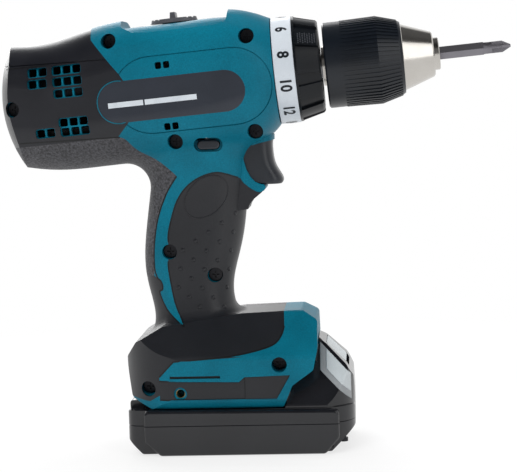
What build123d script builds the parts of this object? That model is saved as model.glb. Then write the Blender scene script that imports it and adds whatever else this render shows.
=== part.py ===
from build123d import *
import math
import os

os.makedirs("parts", exist_ok=True)

# Cordless drill driver with a two-speed planetary gearbox, a clutch, a keyless chuck and a slide-on battery.
# Millimetres. +Z up, +X towards the chuck, origin at the middle of the battery's flat underside.
# The barrel leans nose-up; u runs along the barrel axis, v up across it and w sideways (+Y).

# ---------------------------------------------------------------- driving dimensions
barrel_tilt = 4.6            # degrees between the battery's base and the barrel axis
barrel_height = 187.5        # barrel axis above the base at x = 0
wall = 2.8                   # moulded housing wall under the soft skins
skin = 1.5                   # depth of the soft overmould and of the motor covers
running_gap = 0.3            # open gap round a part that slides or turns past a moulding
fit = 0.05                   # radial clearance of a running fit
lap = 1.0                    # how far a cut runs past the surface that it opens

# barrel: distance along the axis, top, bottom, half width and corner radius of each section
barrel_sections = [
    (-126, 21.0, -33.0, 27.0, 20.0),
    (-100, 26.2, -36.8, 30.0, 22.0),
    (-73, 30.6, -38.2, 32.3, 24.0),
    (-45, 33.4, -38.2, 33.0, 24.5),
    (-15, 33.8, -37.5, 33.0, 25.0),
    (5, 32.4, -35.0, 31.5, 26.0),
    (14, 29.4, -31.8, 29.3, 26.5),
    (19.7, 26.9, -26.9, 26.9, 26.8),
]
# handle: height, back, front, half width and corner radius of each section
handle_sections = [
    (50, -50.0, 4.0, 24.0, 18.0),
    (60, -46.0, 1.0, 20.0, 16.0),
    (70, -45.4, -3.4, 17.8, 15.5),
    (84, -48.4, -4.6, 17.0, 15.0),
    (100, -49.4, -0.7, 17.2, 15.0),
    (118, -47.4, 2.6, 17.6, 15.5),
    (132, -45.4, 4.0, 18.5, 16.0),
    (146, -45.0, 4.0, 21.0, 17.0),
    (160, -46.0, 8.0, 26.0, 20.0),
]
tail_radius = 62.0           # domed rear end of the barrel
tail_reach = 119.7           # rear end behind x = 0, along the axis
tail_drop = -3.0             # height of the dome's centre on the axis plane
tail_corner = 13.0           # lower rear corner of the tail
handle_blend = 12.0          # fillet between barrel and handle
foot_blend = 6.0             # fillet between handle and foot

# foot of the housing
foot_bottom = 23.0
foot_top = 69.5
foot_half_width = 37.0
foot_rear = -59.5
foot_front = 38.0

# air vents: place along and across the axis, and number of cells
cover_vents = [(-96.2, 11.8, 2), (-96.7, 6.2, 2), (-81.4, 11.8, 3), (-81.5, 6.1, 3), (-81.6, 0.4, 3),
               (-80.7, -14.0, 3), (-80.3, -18.6, 3), (-95.3, -18.3, 2)]
vent_cell = (4.1, 3.9)
vent_rib = 0.9
gearbox_vents = [(-33.7, 8.8, 2), (-32.6, -21.4, 2)]
gearbox_vent_cell = (3.1, 3.4)

# bulkheads that hold the motor and the gearbox
bulkhead_thickness = 2.4
bulkheads = [-99.0, -54.0, -18.0, 5.0]

# barrel furniture
nose_face = barrel_sections[-1][0]
panel_centre = (-20.5, -5.2)
panel_size = (78.0, 37.6)
label_centre = (-31.0, -7.0)
label_size = (72.8, 20.4)
label_thickness = 0.8
groove_width = 0.5
cap_seam_heights = (17.2, 14.2)   # v of the seam at the tail and at the front of the cover
groove_depth = 0.5

# fasteners
screw_radius = 1.9
screw_head_radius = 3.3
screw_head_height = 2.4
screw_reach = 12.0           # how far a screw goes into the left half
screw_recess_radius = 3.8
boss_radius = 4.2
# barrel screws: place along and across the axis, and how far out the head sits
barrel_screws = [(-59.5, 23.4, 14.0), (8.3, 18.6, 14.0), (-32.1, -29.3, 16.0), (7.4, -28.6, 11.0),
                 (-111.0, -5.0, 16.0)]
# handle and foot screws: X, Z and how far out the head sits
lower_screws = [(-35.4, 100.2, 9.0), (-12.9, 87.9, 9.0), (19.1, 45.0, 24.0), (-46.5, 33.4, 20.0)]
band_depth = 0.8             # recess of the flat band on the foot's flank
band_step = 2.0              # x ahead of which the band stands half its depth higher
slot_depth = 1.0             # of the narrow slot over the band
hook_place = (-30.2, 31.2)
hook_boss_radius = 3.3
hook_thread_radius = 2.0
hook_insert_radius = 3.0
hook_insert_length = 8.0
hook_insert_depth = 3.0      # insert below the face of the boss

# motor
motor_rear = -104.0
motor_radius = 19.0
motor_can_wall = 1.5
magnet_thickness = 4.0
air_gap = 0.5
shaft_radius = 2.5
fan_blades = 10

# gearbox
gear_module = 0.8
sun_teeth = 15
planet_teeth = 12
ring_teeth = 39
planet_count = 3
stage_count = 3
tooth_pressure_angle = 25.0
tooth_addendum = 0.8         # stub teeth, in modules
tooth_backlash = 0.14
gear_width = 6.5
carrier_thickness = 2.2
stage_gap = 0.3
gearbox_start = -41.0
ring_wall = 2.6
case_wall = 3.0
planet_pin_radius = 1.5

# spindle, clutch and torque ring
spindle_radius = 6.0
spindle_bearing_radius = 11.0
bearing_width = 7.0
neck_radius = 14.0
neck_end = 41.5
torque_radius = 26.5
torque_rear = nose_face + 0.4
torque_step = 30.2
torque_front = 42.9
torque_front_radius = 23.1
torque_lobes = 11
lobe_width = 8.0
lobe_height = 1.2
lobe_start = 13.1
torque_bore = 22.0
torque_wall = 38.0           # where the ring's front wall starts
scale_thickness = 1.1
clutch_flange_radius = 20.0
clutch_spring_radius = 17.3
clutch_spring_length = 12.0
clutch_pitch = 3.4
clutch_wire_radius = 1.1

# chuck
chuck_rear = 43.6
sleeve_rear = 45.1
sleeve_widest = 72.0
sleeve_front = 84.0
sleeve_rear_radius = 21.5
sleeve_widest_radius = 22.1
sleeve_front_radius = 18.6
sleeve_bore = 17.6
sleeve_ribs = 60
nose_radius = 16.6
nose_front_radius = 11.3
nose_front = 99.6
collar_radius = 8.15
collar_front = 102.4
jaw_radius = 3.0
jaw_slope = 12.0
jaw_length = 34.0
jaw_front_radius = 4.0
jaw_front = 101.4
bit_across_flats = 6.35
bit_tip = 138.2
bit_rear = 78.0
nut_rear = 70.0
nut_front = 76.0
nut_groove_radius = 12.2
jaw_travel = 15.5
chuck_bore = 6.6
chuck_bore_end = 72.0
spindle_end = 60.0
rib_start = 54.0
rib_height = 0.55
bit_neck = 124.5
flute_length = 9.5

# trigger, reverse lever and speed selector
trigger_half_width = 10.4
trigger_sections = [(132.6, 21.4), (134.6, 22.2), (138.0, 20.8), (143.0, 18.2), (149.0, 17.2), (155.2, 17.6)]
trigger_nose_radius = 6.0
trigger_back = -2.0
plunger_radius = 2.5
plunger_length = 13.0
plunger_height = 141.0
trigger_travel = 6.5
lever_place = (-13.7, 153.7)
lever_length = 11.0
lever_height = 4.6
lever_travel = 3.5
selector_start = -40.8
selector_length = 24.1
selector_travel = 7.5
selector_floor = 4.0         # depth of the recess that the selector runs in
selector_lift = 0.7            # gap between the slider and the floor of its recess
selector_edge = 25.6

return_spring_wire = 0.4     # wire radius of the trigger's and the catch's springs
switch_front = -9.5
switch_rear = -37.0
switch_low = 122.0
switch_top = 149.6
switch_half_width = 11.0

# battery
battery_half_width = 33.5
battery_pad_half_width = 36.5
knuckle_height = 3.4
knuckle_front = -50.0
battery_rear = -57.6
battery_front = 56.0
battery_seam = 15.2
seam_chamfer = 0.4
battery_top = 22.7
rail_half_width = 25.2
rail_lip = 3.0
rail_lip_height = 3.0
rail_top = 30.0
cell_radius = 9.2
cell_length = 65.0
battery_floor = 2.6
deck_rear = -41.0
channel_rear = 42.0          # rear wall of the battery channel, behind x = 0
battery_screw_places = [(-52.6, -20.0), (-52.6, 20.0), (49.5, -15.0), (49.5, 15.0)]
battery_screw_sink = 4.0
battery_screw_end = 19.0
battery_screw_radius = 1.3
button_half_length = 6.7
button_half_width = 13.5
button_travel = 3.0
button_thickness = 4.0
latch_post = 44.5            # x of the button's post, over its spring
latch_tooth = 20.8           # x of the tooth that catches in the foot
arm_half_width = 5.0
arm_thickness = 3.0
arm_low = rail_top + 0.4

# ---------------------------------------------------------------- barrel frame
tilt_cos = math.cos(math.radians(barrel_tilt))
tilt_sin = math.sin(math.radians(barrel_tilt))
forward = (tilt_cos, 0, tilt_sin)
barrel_side = Plane(origin=(0, 0, barrel_height), x_dir=forward, z_dir=(0, -1, 0))


def across(u):
    """Plane square to the barrel axis at u: local x is +Y and local y is up."""
    origin = (u * tilt_cos, 0, barrel_height + u * tilt_sin)
    return Plane(origin=origin, x_dir=(0, 1, 0), z_dir=forward)


def barrel_point(u, v):
    """X and Z of a point of the barrel's side view."""
    return (u * tilt_cos - v * tilt_sin, barrel_height + u * tilt_sin + v * tilt_cos)


def turned(profile):
    """Solid of revolution about the barrel axis from closed (u, radius) points."""
    with BuildPart() as solid:
        with BuildSketch(barrel_side):
            with BuildLine():
                Polyline(*profile, close=True)
            make_face()
        revolve(axis=Axis((0, 0, barrel_height), forward))
    return solid.part


def tube(start, end, outer, inner=0.0):
    """Plain ring or rod about the barrel axis."""
    return turned([(start, inner), (end, inner), (end, outer), (start, outer)])


# ---------------------------------------------------------------- outer form of the housing
def barrel_form(inset):
    """Barrel: a loft through rounded sections, cut by a domed tail with a round lower corner."""
    with BuildPart() as form:
        for u, top, bottom, half, radius in barrel_sections:
            with BuildSketch(across(u)):
                with Locations((0, (top + bottom) / 2)):
                    RectangleRounded(2 * (half - inset), top - bottom - 2 * inset, radius - inset)
        loft()
        dome_u = tail_radius - tail_reach
        dome_x, dome_z = barrel_point(dome_u, tail_drop)
        with BuildSketch(Plane(origin=(dome_x, 0, dome_z), x_dir=forward, z_dir=(0, -1, 0))) as dome:
            with BuildLine():
                reach = tail_radius - inset
                JernArc((-reach, 0), (0, 1), reach, -90)
                Polyline((0, reach), (3 * tail_radius, reach), (3 * tail_radius, 0), (-reach, 0))
            make_face()
        revolve(axis=Axis((dome_x, 0, dome_z), forward), mode=Mode.INTERSECT)
        belly = barrel_sections[2][2] + inset
        with BuildSketch(barrel_side):
            with BuildLine():
                corner = tail_corner - inset
                start = tail_corner - tail_reach - 2.5
                Polyline((2 * lap + nose_face, belly - lap), (start, belly - lap), (start, belly))
                JernArc((start, belly), (-1, 0), corner, -90)
                Line((start - corner, belly + corner), (start - corner, 60))
                Polyline((start - corner, 60), (2 * lap + nose_face, 60), (2 * lap + nose_face, belly - lap))
            make_face()
        extrude(amount=2 * foot_half_width, both=True, mode=Mode.INTERSECT)
    return form.part


def handle_form(inset):
    """Handle: a loft through rounded sections that flares into the barrel and into the foot."""
    with BuildPart() as form:
        for z, back, front, half, radius in handle_sections:
            with BuildSketch(Plane.XY.offset(z)):
                with Locations(((back + front) / 2, 0)):
                    RectangleRounded(front - back - 2 * inset, 2 * (half - inset), radius - inset)
        loft()
    return form.part


def foot_form(inset):
    """Foot: side, front and top outlines crossed, so that sloping shoulders meet the round rear."""
    with BuildPart() as form:
        with BuildSketch(Plane.XZ) as side:
            with BuildLine():
                Polyline(
                    (20.4, foot_bottom), (-44.0, foot_bottom), (-56.0, 28.0), (foot_rear, 46.5),
                    (-53.0, 56.0), (-40.0, 63.0), (0.0, foot_top - 1.0), (30.5, foot_top),
                    (foot_front, 65.0), (foot_front, 52.0), (35.8, 42.0), (25.4, 34.6), close=True,
                )
            make_face()
            fillet(side.vertices(), 2.5)
            if inset > 0:
                offset(amount=-inset, mode=Mode.REPLACE)
        extrude(amount=2 * foot_half_width, both=True)
        with BuildSketch(Plane.YZ) as front:
            with BuildLine():
                half = foot_half_width
                Polyline(
                    (-half + 4, foot_bottom), (half - 4, foot_bottom), (half, foot_bottom + 5.0), (half, 49.0),
                    (17.0, foot_top), (-17.0, foot_top), (-half, 49.0), (-half, foot_bottom + 5.0), close=True,
                )
            make_face()
            fillet(front.vertices(), 4.0)
            if inset > 0:
                offset(amount=-inset, mode=Mode.REPLACE)
        extrude(amount=3 * foot_half_width, both=True, mode=Mode.INTERSECT)
        with BuildSketch() as plan:
            with Locations(((foot_rear + foot_front) / 2, 0)):
                Rectangle(foot_front - foot_rear, 2 * foot_half_width)
            rear_corners = plan.vertices().group_by(Axis.X)[0]
            front_corners = plan.vertices().group_by(Axis.X)[-1]
            fillet(rear_corners, foot_half_width - 7.0)
            chamfer(front_corners, 12.0, 7.0)
            if inset > 0:
                offset(amount=-inset, mode=Mode.REPLACE)
        extrude(amount=foot_top + lap, mode=Mode.INTERSECT)
    return form.part


def new_edges(part, *pieces):
    """Edges that a union made, away from the edges that its pieces already had."""
    known = [edge.center() for piece in pieces for edge in piece.edges()]
    return [edge for edge in part.edges() if min((edge.center() - spot).length for spot in known) > 0.001]


def upper_form(inset):
    """Barrel and handle, moved in by inset and blended into each other."""
    barrel, handle = barrel_form(inset), handle_form(inset)
    with BuildPart() as form:
        add(barrel)
        add(handle)
        seam = [edge for edge in new_edges(form.part, barrel, handle) if edge.center().Z > 130]
        fillet(seam, handle_blend)
    return form.part


def housing_form(inset):
    """Whole outer form, moved in by inset. Only the outside is blended into the foot."""
    upper, foot = upper_form(inset), foot_form(inset)
    with BuildPart() as form:
        add(upper)
        add(foot)
        if inset == 0:
            seam = [edge for edge in new_edges(form.part, upper, foot) if edge.center().Z > foot_bottom + 20]
            fillet(seam, foot_blend)
    return form.part


outer = housing_form(0)
under_skin = housing_form(skin)
cavity = housing_form(skin + wall)
full_width = 2 * foot_half_width


def surface_piece(core, *regions):
    """What lies inside every region, between the outside of the housing and the given core."""
    with BuildPart() as piece:
        add(outer)
        for region in regions:
            add(region, mode=Mode.INTERSECT)
        add(core, mode=Mode.SUBTRACT)
    return piece.part


def stadium_prism(centre, size, margin=0.0):
    """Upright stadium in the barrel's side view, extruded through the whole barrel."""
    with BuildPart() as solid:
        with BuildSketch(barrel_side):
            with Locations(centre):
                SlotOverall(size[0] + 2 * margin, size[1] + 2 * margin)
        extrude(amount=2 * foot_half_width, both=True)
    return solid.part


# ---------------------------------------------------------------- regions of the side view
# the soft skins and covers are cut from the outer layer by these outlines
panel_top = panel_centre[1] + panel_size[1] / 2
panel_low = panel_centre[1] - panel_size[1] / 2


def tail_region(margin):
    """Rear of the barrel that the motor covers hide: back of a slanting line, above the belly line."""
    with BuildPart() as region:
        with BuildSketch(barrel_side):
            with BuildLine():
                Polyline(
                    (-71.5 - margin, 60), (-68.4 - margin, 25.0), (-55.0 - margin, 6.0), (-52.0 - margin, 0),
                    (-52.0 - margin, -16.0), (-59.6 - margin, panel_low + margin),
                    (-2 * tail_radius, panel_low + margin), (-2 * tail_radius, 60), close=True,
                )
            make_face()
        extrude(amount=full_width, both=True)
    return region.part


def back_region():
    """Textured grip: under the tail, round the concave corner and down the back of the handle."""
    with BuildPart() as region:
        with BuildSketch(Plane.XZ):
            with BuildLine():
                start = barrel_point(-60.0, panel_low)
                rear = barrel_point(-2 * tail_radius, panel_low)
                Line(rear, start)
                Spline(start, (-50.6, 153.8), (-41.6, 147.6), (-33.6, 141.4), (-30.4, 138.2),
                       tangents=((1, 0.05), (0.6, -0.8)))
                Spline((-30.4, 138.2), (-36.0, 129.5), (-40.9, 117.0), (-43.3, 103.4), (-43.5, 91.6),
                       tangents=((-0.55, -0.85), (0, -1)))
                Polyline((-43.5, 91.6), (-44.0, 88.0), (-60.0, 86.0), (-130.0, 86.0), rear)
            make_face()
        extrude(amount=full_width, both=True)
    return region.part


def grip_region():
    """Smooth side grip with the dark upper part of the foot and the band below its waist line."""
    with BuildPart() as region:
        with BuildSketch(Plane.XZ):
            with BuildLine():
                Spline((-28.5, 63.0), (-33.2, 74.0), (-36.1, 92.0), (-35.6, 108.0), (-30.4, 126.4),
                       (-22.4, 135.4), (-10.8, 139.6), (0.0, 136.6), (9.4, 128.6))
                Polyline((9.4, 128.6), (30, 128.6), (30, 90), (21.0, 75.0), (21.6, 62.4))
                Spline((21.6, 62.4), (18.5, 56.0), (11.0, 52.6), (-6.6, 49.4), (-33.2, 47.4),
                       tangents=((0, -1), (-1, -0.05)))
                Polyline((-33.2, 47.4), (-40.6, 39.6), (-40.6, 30.4), (-46.0, 27.2), (-70, 30.0), (-70, 86.0),
                         (-44.0, 88.0), (-42.0, 86.6))
                ThreePointArc((-42.0, 86.6), (-39.6, 83.2), (-41.3, 79.4))
                Spline((-41.3, 79.4), (-38.0, 71.4), (-28.5, 63.0))
            make_face()
        extrude(amount=full_width, both=True)
    return region.part


def band_region():
    """Flat band on the flank of the foot where a belt hook or bit holder is screwed on."""
    with BuildPart() as region:
        with BuildSketch(Plane.XZ):
            with BuildLine():
                Polyline((-40.6, 37.6), (-1.0, 36.8), (1.8, 39.2), (24.4, 39.8), (17.6, 28.2), (-40.6, 28.2),
                         close=True)
            make_face()
        extrude(amount=full_width, both=True)
    return region.part


# ---------------------------------------------------------------- soft skins, covers and label
def half_space(side):
    """Everything on one side of the middle plane: -1 is the right half, +1 the left half."""
    with BuildPart() as half:
        with Locations((0, side * 2 * full_width, barrel_height / 2)):
            Box(4 * tail_radius + 60, 4 * full_width, 3 * barrel_height)
    return half.part


right_side, left_side = half_space(-1), half_space(1)
tail, back, grip, band = tail_region(0), back_region(), grip_region(), band_region()
label_zone = stadium_prism(label_centre, label_size)
tail_skin = surface_piece(under_skin, tail)
back_skin = surface_piece(under_skin, back)


def post(place, start, end, radius):
    """Round post square to the middle plane, at an (X, Z) place, from one Y to another."""
    with BuildPart() as solid:
        with BuildSketch(Plane.XZ.offset(-start)):
            with Locations(place):
                Circle(radius)
        extrude(amount=start - end)
    return solid.part


def half_of(part, side):
    """One half of a part: -1 is the right half, +1 the left half."""
    with BuildPart() as half:
        add(part)
        add(right_side if side < 0 else left_side, mode=Mode.INTERSECT)
    return half.part


def vent_cutter(vents, cell, margin, joined):
    """Vent openings of the right side, as single cells or as one slot round each row of cells."""
    with BuildPart() as cutter:
        with BuildSketch(barrel_side):
            for u, v, count in vents:
                pitch = cell[0] + vent_rib
                if joined:
                    with Locations((u, v)):
                        length = count * pitch - vent_rib
                        RectangleRounded(length + 2 * margin, cell[1] + 2 * margin, cell[1] / 3)
                else:
                    with Locations((u, v)), GridLocations(pitch, 1, count, 1):
                        RectangleRounded(cell[0], cell[1], 0.8)
        extrude(amount=full_width)
    return cutter.part


screw_places = [(*barrel_point(u, v), seat) for u, v, seat in barrel_screws] + lower_screws

# ---------------------------------------------------------------- insides of the housing
front_floor = foot_bottom + rail_lip_height
channel_roof = rail_top + running_gap

with BuildPart() as kept_solid:
    # bulkheads across the barrel, screw bosses, switch shelf and the roof of the battery channel
    for station in bulkheads:
        with BuildSketch(across(station)):
            with Locations((0, 5)):
                Rectangle(full_width, 59)
        extrude(amount=bulkhead_thickness)
    for x, z, seat in screw_places:
        add(post((x, z), -full_width, full_width, boss_radius))
    add(post(hook_place, -full_width, full_width, hook_boss_radius + 2))
    with Locations((-22, 0, 120.5)):
        Box(70, full_width, 3)
    with Locations((0, 0, channel_roof / 2 + 1.2)):
        Box(4 * foot_front, 2 * rail_half_width + 8, channel_roof + 2.4)
    with Locations((0, 0, arm_low)):
        Box(4 * foot_front, 2 * arm_half_width + 7, 2 * (arm_thickness + 3.0))

with BuildPart() as hollow:
    add(cavity)
    add(right_side, mode=Mode.INTERSECT)
    add(kept_solid.part, mode=Mode.SUBTRACT)

ring_pitch_radius = gear_module * ring_teeth / 2
ring_outer = ring_pitch_radius + gear_module + ring_wall
case_radius = ring_outer + case_wall
stage_length = gear_width + carrier_thickness + 2 * stage_gap
case_start = gearbox_start - 3.0
case_shoulder = gearbox_start + stage_count * stage_length + 3.5

with BuildPart() as battery_channel:
    channel_middle, channel_length = foot_front - channel_rear / 2, 2 * foot_front + channel_rear
    with Locations((channel_middle, 0, (front_floor + channel_roof) / 2)):
        Box(channel_length, 2 * (rail_half_width + running_gap), channel_roof - front_floor)
    with Locations((channel_middle, 0, front_floor - rail_lip_height / 2)):
        Box(channel_length, 2 * (rail_half_width + running_gap - rail_lip), rail_lip_height + 2 * lap)
    # slot for the battery's knuckle, open to the rear
    with Locations((-foot_front - channel_rear, 0, foot_bottom - lap + (knuckle_height + running_gap) / 2)):
        Box(2 * foot_front, 2 * (rail_half_width + running_gap - rail_lip), knuckle_height + running_gap + lap)
    # groove for the catch's arm, open to the front
    with Locations((latch_tooth - 1.5 - lap + foot_front, 0, arm_low)):
        Box(2 * foot_front, 2 * (arm_half_width + running_gap), 2 * (arm_thickness + running_gap))

# ---------------------------------------------------------------- trigger
with BuildPart() as trigger:
    # rounded sections up the finger face, then the slanting top edge and the switch plunger
    for z, front in trigger_sections:
        with BuildSketch(Plane.XY.offset(z)) as section:
            with Locations(((trigger_back + front) / 2, 0)):
                Rectangle(front - trigger_back, 2 * trigger_half_width)
            fillet(section.vertices().group_by(Axis.X)[-1], trigger_nose_radius)
    loft()
    with BuildSketch(Plane.XZ):
        with BuildLine():
            top, low = trigger_sections[-1][0], trigger_sections[0][0]
            Polyline(
                (-40, low), (40, low), (40, top + 5.4), (6.0, top - 2.8), (trigger_back, top - 4.2), (-40, top - 4.2),
                close=True,
            )
        make_face()
    extrude(amount=full_width, both=True, mode=Mode.INTERSECT)
    fillet(trigger.faces().sort_by(Axis.Z)[0].edges().sort_by(Axis.X)[-3:], 1.2)
    with BuildSketch(Plane.YZ.offset(trigger_back)):
        with Locations((0, plunger_height)):
            Circle(plunger_radius)
    extrude(amount=-plunger_length)

trigger.part.label = "trigger"
export_step(trigger.part, "parts/trigger.step")

with BuildPart() as trigger_mouth:
    with BuildSketch(Plane.XZ):
        with BuildLine():
            Polyline(
                (-10, 132.2), (12.0, 132.2), (30, 134.5), (30, 158.2), (17.6, 155.9), (11.0, 155.8),
                (-0.8, 153.0), (-10, 151.6), close=True,
            )
        make_face()
    extrude(amount=trigger_half_width + running_gap, both=True)

with BuildPart() as collar:
    # shelf under the trigger, with cheeks that curve up beside its lower rear corner
    with BuildSketch(Plane.XZ):
        with BuildLine():
            Polyline(
                (-4, 132.2), (-0.6, 133.0), (-0.6, 147.0), (2.4, 147.0), (3.2, 143.7), (4.2, 140.1),
                (6.0, 136.7), (8.4, 134.1), (10.8, 132.9), (12.6, 132.7), (13.5, 131.6), (13.5, 130.6),
                (12.6, 129.5), (4.6, 125.6), (-4, 120.9), close=True,
            )
        make_face()
    extrude(amount=12.0, both=True)
    rims = [edge for edge in collar.edges() if edge.center().X > 4.5 and abs(abs(edge.center().Y) - 12) < 0.01]
    chamfer(rims, 0.3)

# ---------------------------------------------------------------- reverse lever
with BuildPart() as reverse_lever:
    with BuildSketch(Plane.XZ):
        with Locations(lever_place):
            SlotOverall(lever_length, lever_height)
    extrude(amount=23.5, both=True)
    fillet(reverse_lever.edges().filter_by(GeomType.CIRCLE), 0.8)

reverse_lever.part.label = "reverse_lever"
export_step(reverse_lever.part, "parts/reverse_lever.step")

with BuildPart() as lever_slot:
    with BuildSketch(Plane.XZ):
        with Locations(lever_place):
            SlotOverall(lever_length + 2 * running_gap, lever_height + 2 * running_gap)
    extrude(amount=full_width, both=True)
    with BuildSketch(Plane.XZ.offset(20.5)):
        with Locations(lever_place):
            SlotOverall(lever_length + 3.2, lever_height + 2.4)
    extrude(amount=full_width)
    mirror(about=Plane.XZ)

# ---------------------------------------------------------------- recess and slot of the speed selector
recess_end = selector_start + selector_length + selector_travel
with BuildPart() as selector_recess:
    with BuildSketch(barrel_side) as side:
        with BuildLine():
            Polyline(
                (-57.0, 60), (-53.5, selector_edge + 4), (-47.0, selector_edge + 0.6),
                (-40.0, selector_edge), (-7.0, selector_edge), (-1.0, selector_edge + 1.6), (4.0, 60), close=True,
            )
        make_face()
        fillet(side.vertices().sort_by(Axis.Y)[0:5], 2.5)
    extrude(amount=full_width, both=True)
    add(barrel_form(selector_floor), mode=Mode.SUBTRACT)
    add(outer, mode=Mode.INTERSECT)

with BuildPart() as selector_slot:
    with BuildSketch(Plane(origin=(0, 0, barrel_height), x_dir=forward, z_dir=(-tilt_sin, 0, tilt_cos))):
        with Locations(((selector_start + 3 + recess_end) / 2, 0)):
            SlotOverall(recess_end - selector_start - 3, 8.0)
    extrude(amount=60)

# ---------------------------------------------------------------- work light
light_place = Plane(origin=(20.0, 0, 158.8), z_dir=(0.86, 0, -0.51))
with BuildPart() as light_bore:
    with BuildSketch(light_place):
        Circle(3.0)
    extrude(amount=8.0, both=True)

led_lens_part = surface_piece(cavity, light_bore.part)
led_lens_part.label = "led_lens"
export_step(led_lens_part, "parts/led_lens.step")

# ---------------------------------------------------------------- grooves, vents and skins of the right side
groove_floor = upper_form(groove_depth)

with BuildPart() as cap_seam:
    # joint line between the upper cap and the lower part of the motor cover
    with BuildSketch(barrel_side):
        with BuildLine():
            rear_v, front_v = cap_seam_heights
            Polyline((-2 * tail_radius, rear_v), (-50, front_v), (-50, front_v - groove_width),
                     (-2 * tail_radius, rear_v - groove_width), close=True)
        make_face()
    extrude(amount=full_width)
    add(groove_floor, mode=Mode.SUBTRACT)

with BuildPart() as panel_groove:
    add(stadium_prism(panel_centre, panel_size, groove_width / 2))
    add(stadium_prism(panel_centre, panel_size, -groove_width / 2), mode=Mode.SUBTRACT)
    add(tail, mode=Mode.SUBTRACT)
    add(right_side, mode=Mode.INTERSECT)
    add(groove_floor, mode=Mode.SUBTRACT)

with BuildPart() as screw_recesses:
    for x, z, seat in screw_places:
        add(post((x, z), -full_width, -seat, screw_recess_radius))

with BuildPart() as screw_holes:
    for x, z, seat in screw_places:
        add(post((x, z), -seat - lap, screw_reach, screw_radius))

label_pocket = surface_piece(barrel_form(label_thickness), label_zone)

with BuildPart() as band_recess:
    add(band)
    with Locations((0, -foot_half_width + band_depth - full_width, foot_bottom)):
        Box(4 * foot_front, 2 * full_width, 4 * foot_bottom, mode=Mode.INTERSECT)
    with Locations((band_step + foot_front, -foot_half_width + band_depth, foot_bottom)):
        Box(2 * foot_front, band_depth, 4 * foot_bottom, mode=Mode.SUBTRACT)

with BuildPart() as foot_slot:
    with Locations((-22.8, -foot_half_width, 39.4)):
        Box(25.2, 2 * slot_depth, 1.3)

with BuildPart() as hook_hole:
    add(post(hook_place, -full_width, -foot_half_width + hook_insert_depth, hook_thread_radius + 0.3))
    insert_end = hook_insert_depth + hook_insert_length - foot_half_width
    add(post(hook_place, -foot_half_width + hook_insert_depth, insert_end, hook_insert_radius))

cover_slots = vent_cutter(cover_vents, vent_cell, 0.4, True)
cover_cells = vent_cutter(cover_vents, vent_cell, 0.0, False)
gearbox_cells = vent_cutter(gearbox_vents, gearbox_vent_cell, 0.0, False)

with BuildPart() as grip_zone:
    add(grip)
    add(band)

right_tail_skin = half_of(tail_skin, -1)
right_back_skin = half_of(back_skin, -1)
right_grip_skin = half_of(surface_piece(under_skin, grip_zone.part), -1)

# ---------------------------------------------------------------- housing halves
with BuildPart() as half_shell:
    add(outer)
    add(right_side, mode=Mode.INTERSECT)
    add(
        [hollow.part, right_tail_skin, right_back_skin, right_grip_skin, selector_recess.part],
        mode=Mode.SUBTRACT,
    )
    add(half_of(collar.part, -1))
    motor_bay = tube(bulkheads[0] - lap, bulkheads[1] + bulkhead_thickness + lap, motor_radius)
    gearbox_bay = tube(bulkheads[2] - lap, case_shoulder, case_radius)
    neck_bay = tube(bulkheads[3] - lap, nose_face + lap, neck_radius)
    add(
        [motor_bay, gearbox_bay, neck_bay, trigger_mouth.part, lever_slot.part, selector_slot.part,
         battery_channel.part, light_bore.part, panel_groove.part, cover_cells, gearbox_cells, hook_hole.part,
         foot_slot.part],
        mode=Mode.SUBTRACT,
    )

with BuildPart() as right_housing:
    add(half_shell.part)
    add([label_pocket, screw_recesses.part, screw_holes.part], mode=Mode.SUBTRACT)

with BuildPart() as left_housing:
    add(half_shell.part)
    mirror(about=Plane.XZ, mode=Mode.REPLACE)
    add(screw_holes.part, mode=Mode.SUBTRACT)

# ---------------------------------------------------------------- soft skins, motor covers and label
with BuildPart() as half_cover:
    add(right_tail_skin)
    add([cover_slots, cap_seam.part], mode=Mode.SUBTRACT)

with BuildPart() as right_motor_cover:
    add(half_cover.part)
    add([label_pocket, screw_recesses.part], mode=Mode.SUBTRACT)

with BuildPart() as left_motor_cover:
    add(half_cover.part)
    mirror(about=Plane.XZ, mode=Mode.REPLACE)

with BuildPart() as half_grip:
    add(right_grip_skin)
    hook_boss_hole = post(hook_place, -full_width, full_width, hook_boss_radius)
    add(
        [collar.part, trigger_mouth.part, battery_channel.part, band_recess.part, hook_boss_hole],
        mode=Mode.SUBTRACT,
    )

with BuildPart() as right_grip:
    add(half_grip.part)
    add(screw_recesses.part, mode=Mode.SUBTRACT)

with BuildPart() as left_grip:
    add(half_grip.part)
    mirror(about=Plane.XZ, mode=Mode.REPLACE)

with BuildPart() as back_grip:
    add(right_back_skin)
    mirror(about=Plane.XZ)

with BuildPart() as label_plate:
    add(label_pocket)
    add(right_side, mode=Mode.INTERSECT)

# ---------------------------------------------------------------- fasteners
with BuildPart() as housing_screws:
    for x, z, seat in screw_places:
        add(post((x, z), -seat - screw_head_height, -seat, screw_head_radius))
        add(post((x, z), -seat, screw_reach, screw_radius))
    for x, z, seat in screw_places:
        with BuildSketch(Plane.XZ.offset(seat + screw_head_height)):
            with Locations((x, z)):
                Rectangle(3.6, 0.9)
                Rectangle(0.9, 3.6)
        extrude(amount=-1.4, mode=Mode.SUBTRACT)

with BuildPart() as hook_inserts:
    insert_start = hook_insert_depth - foot_half_width
    add(post(hook_place, insert_start, insert_end, hook_insert_radius))
    add(post(hook_place, insert_start, insert_end, hook_thread_radius), mode=Mode.SUBTRACT)
    mirror(about=Plane.XZ)

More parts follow.
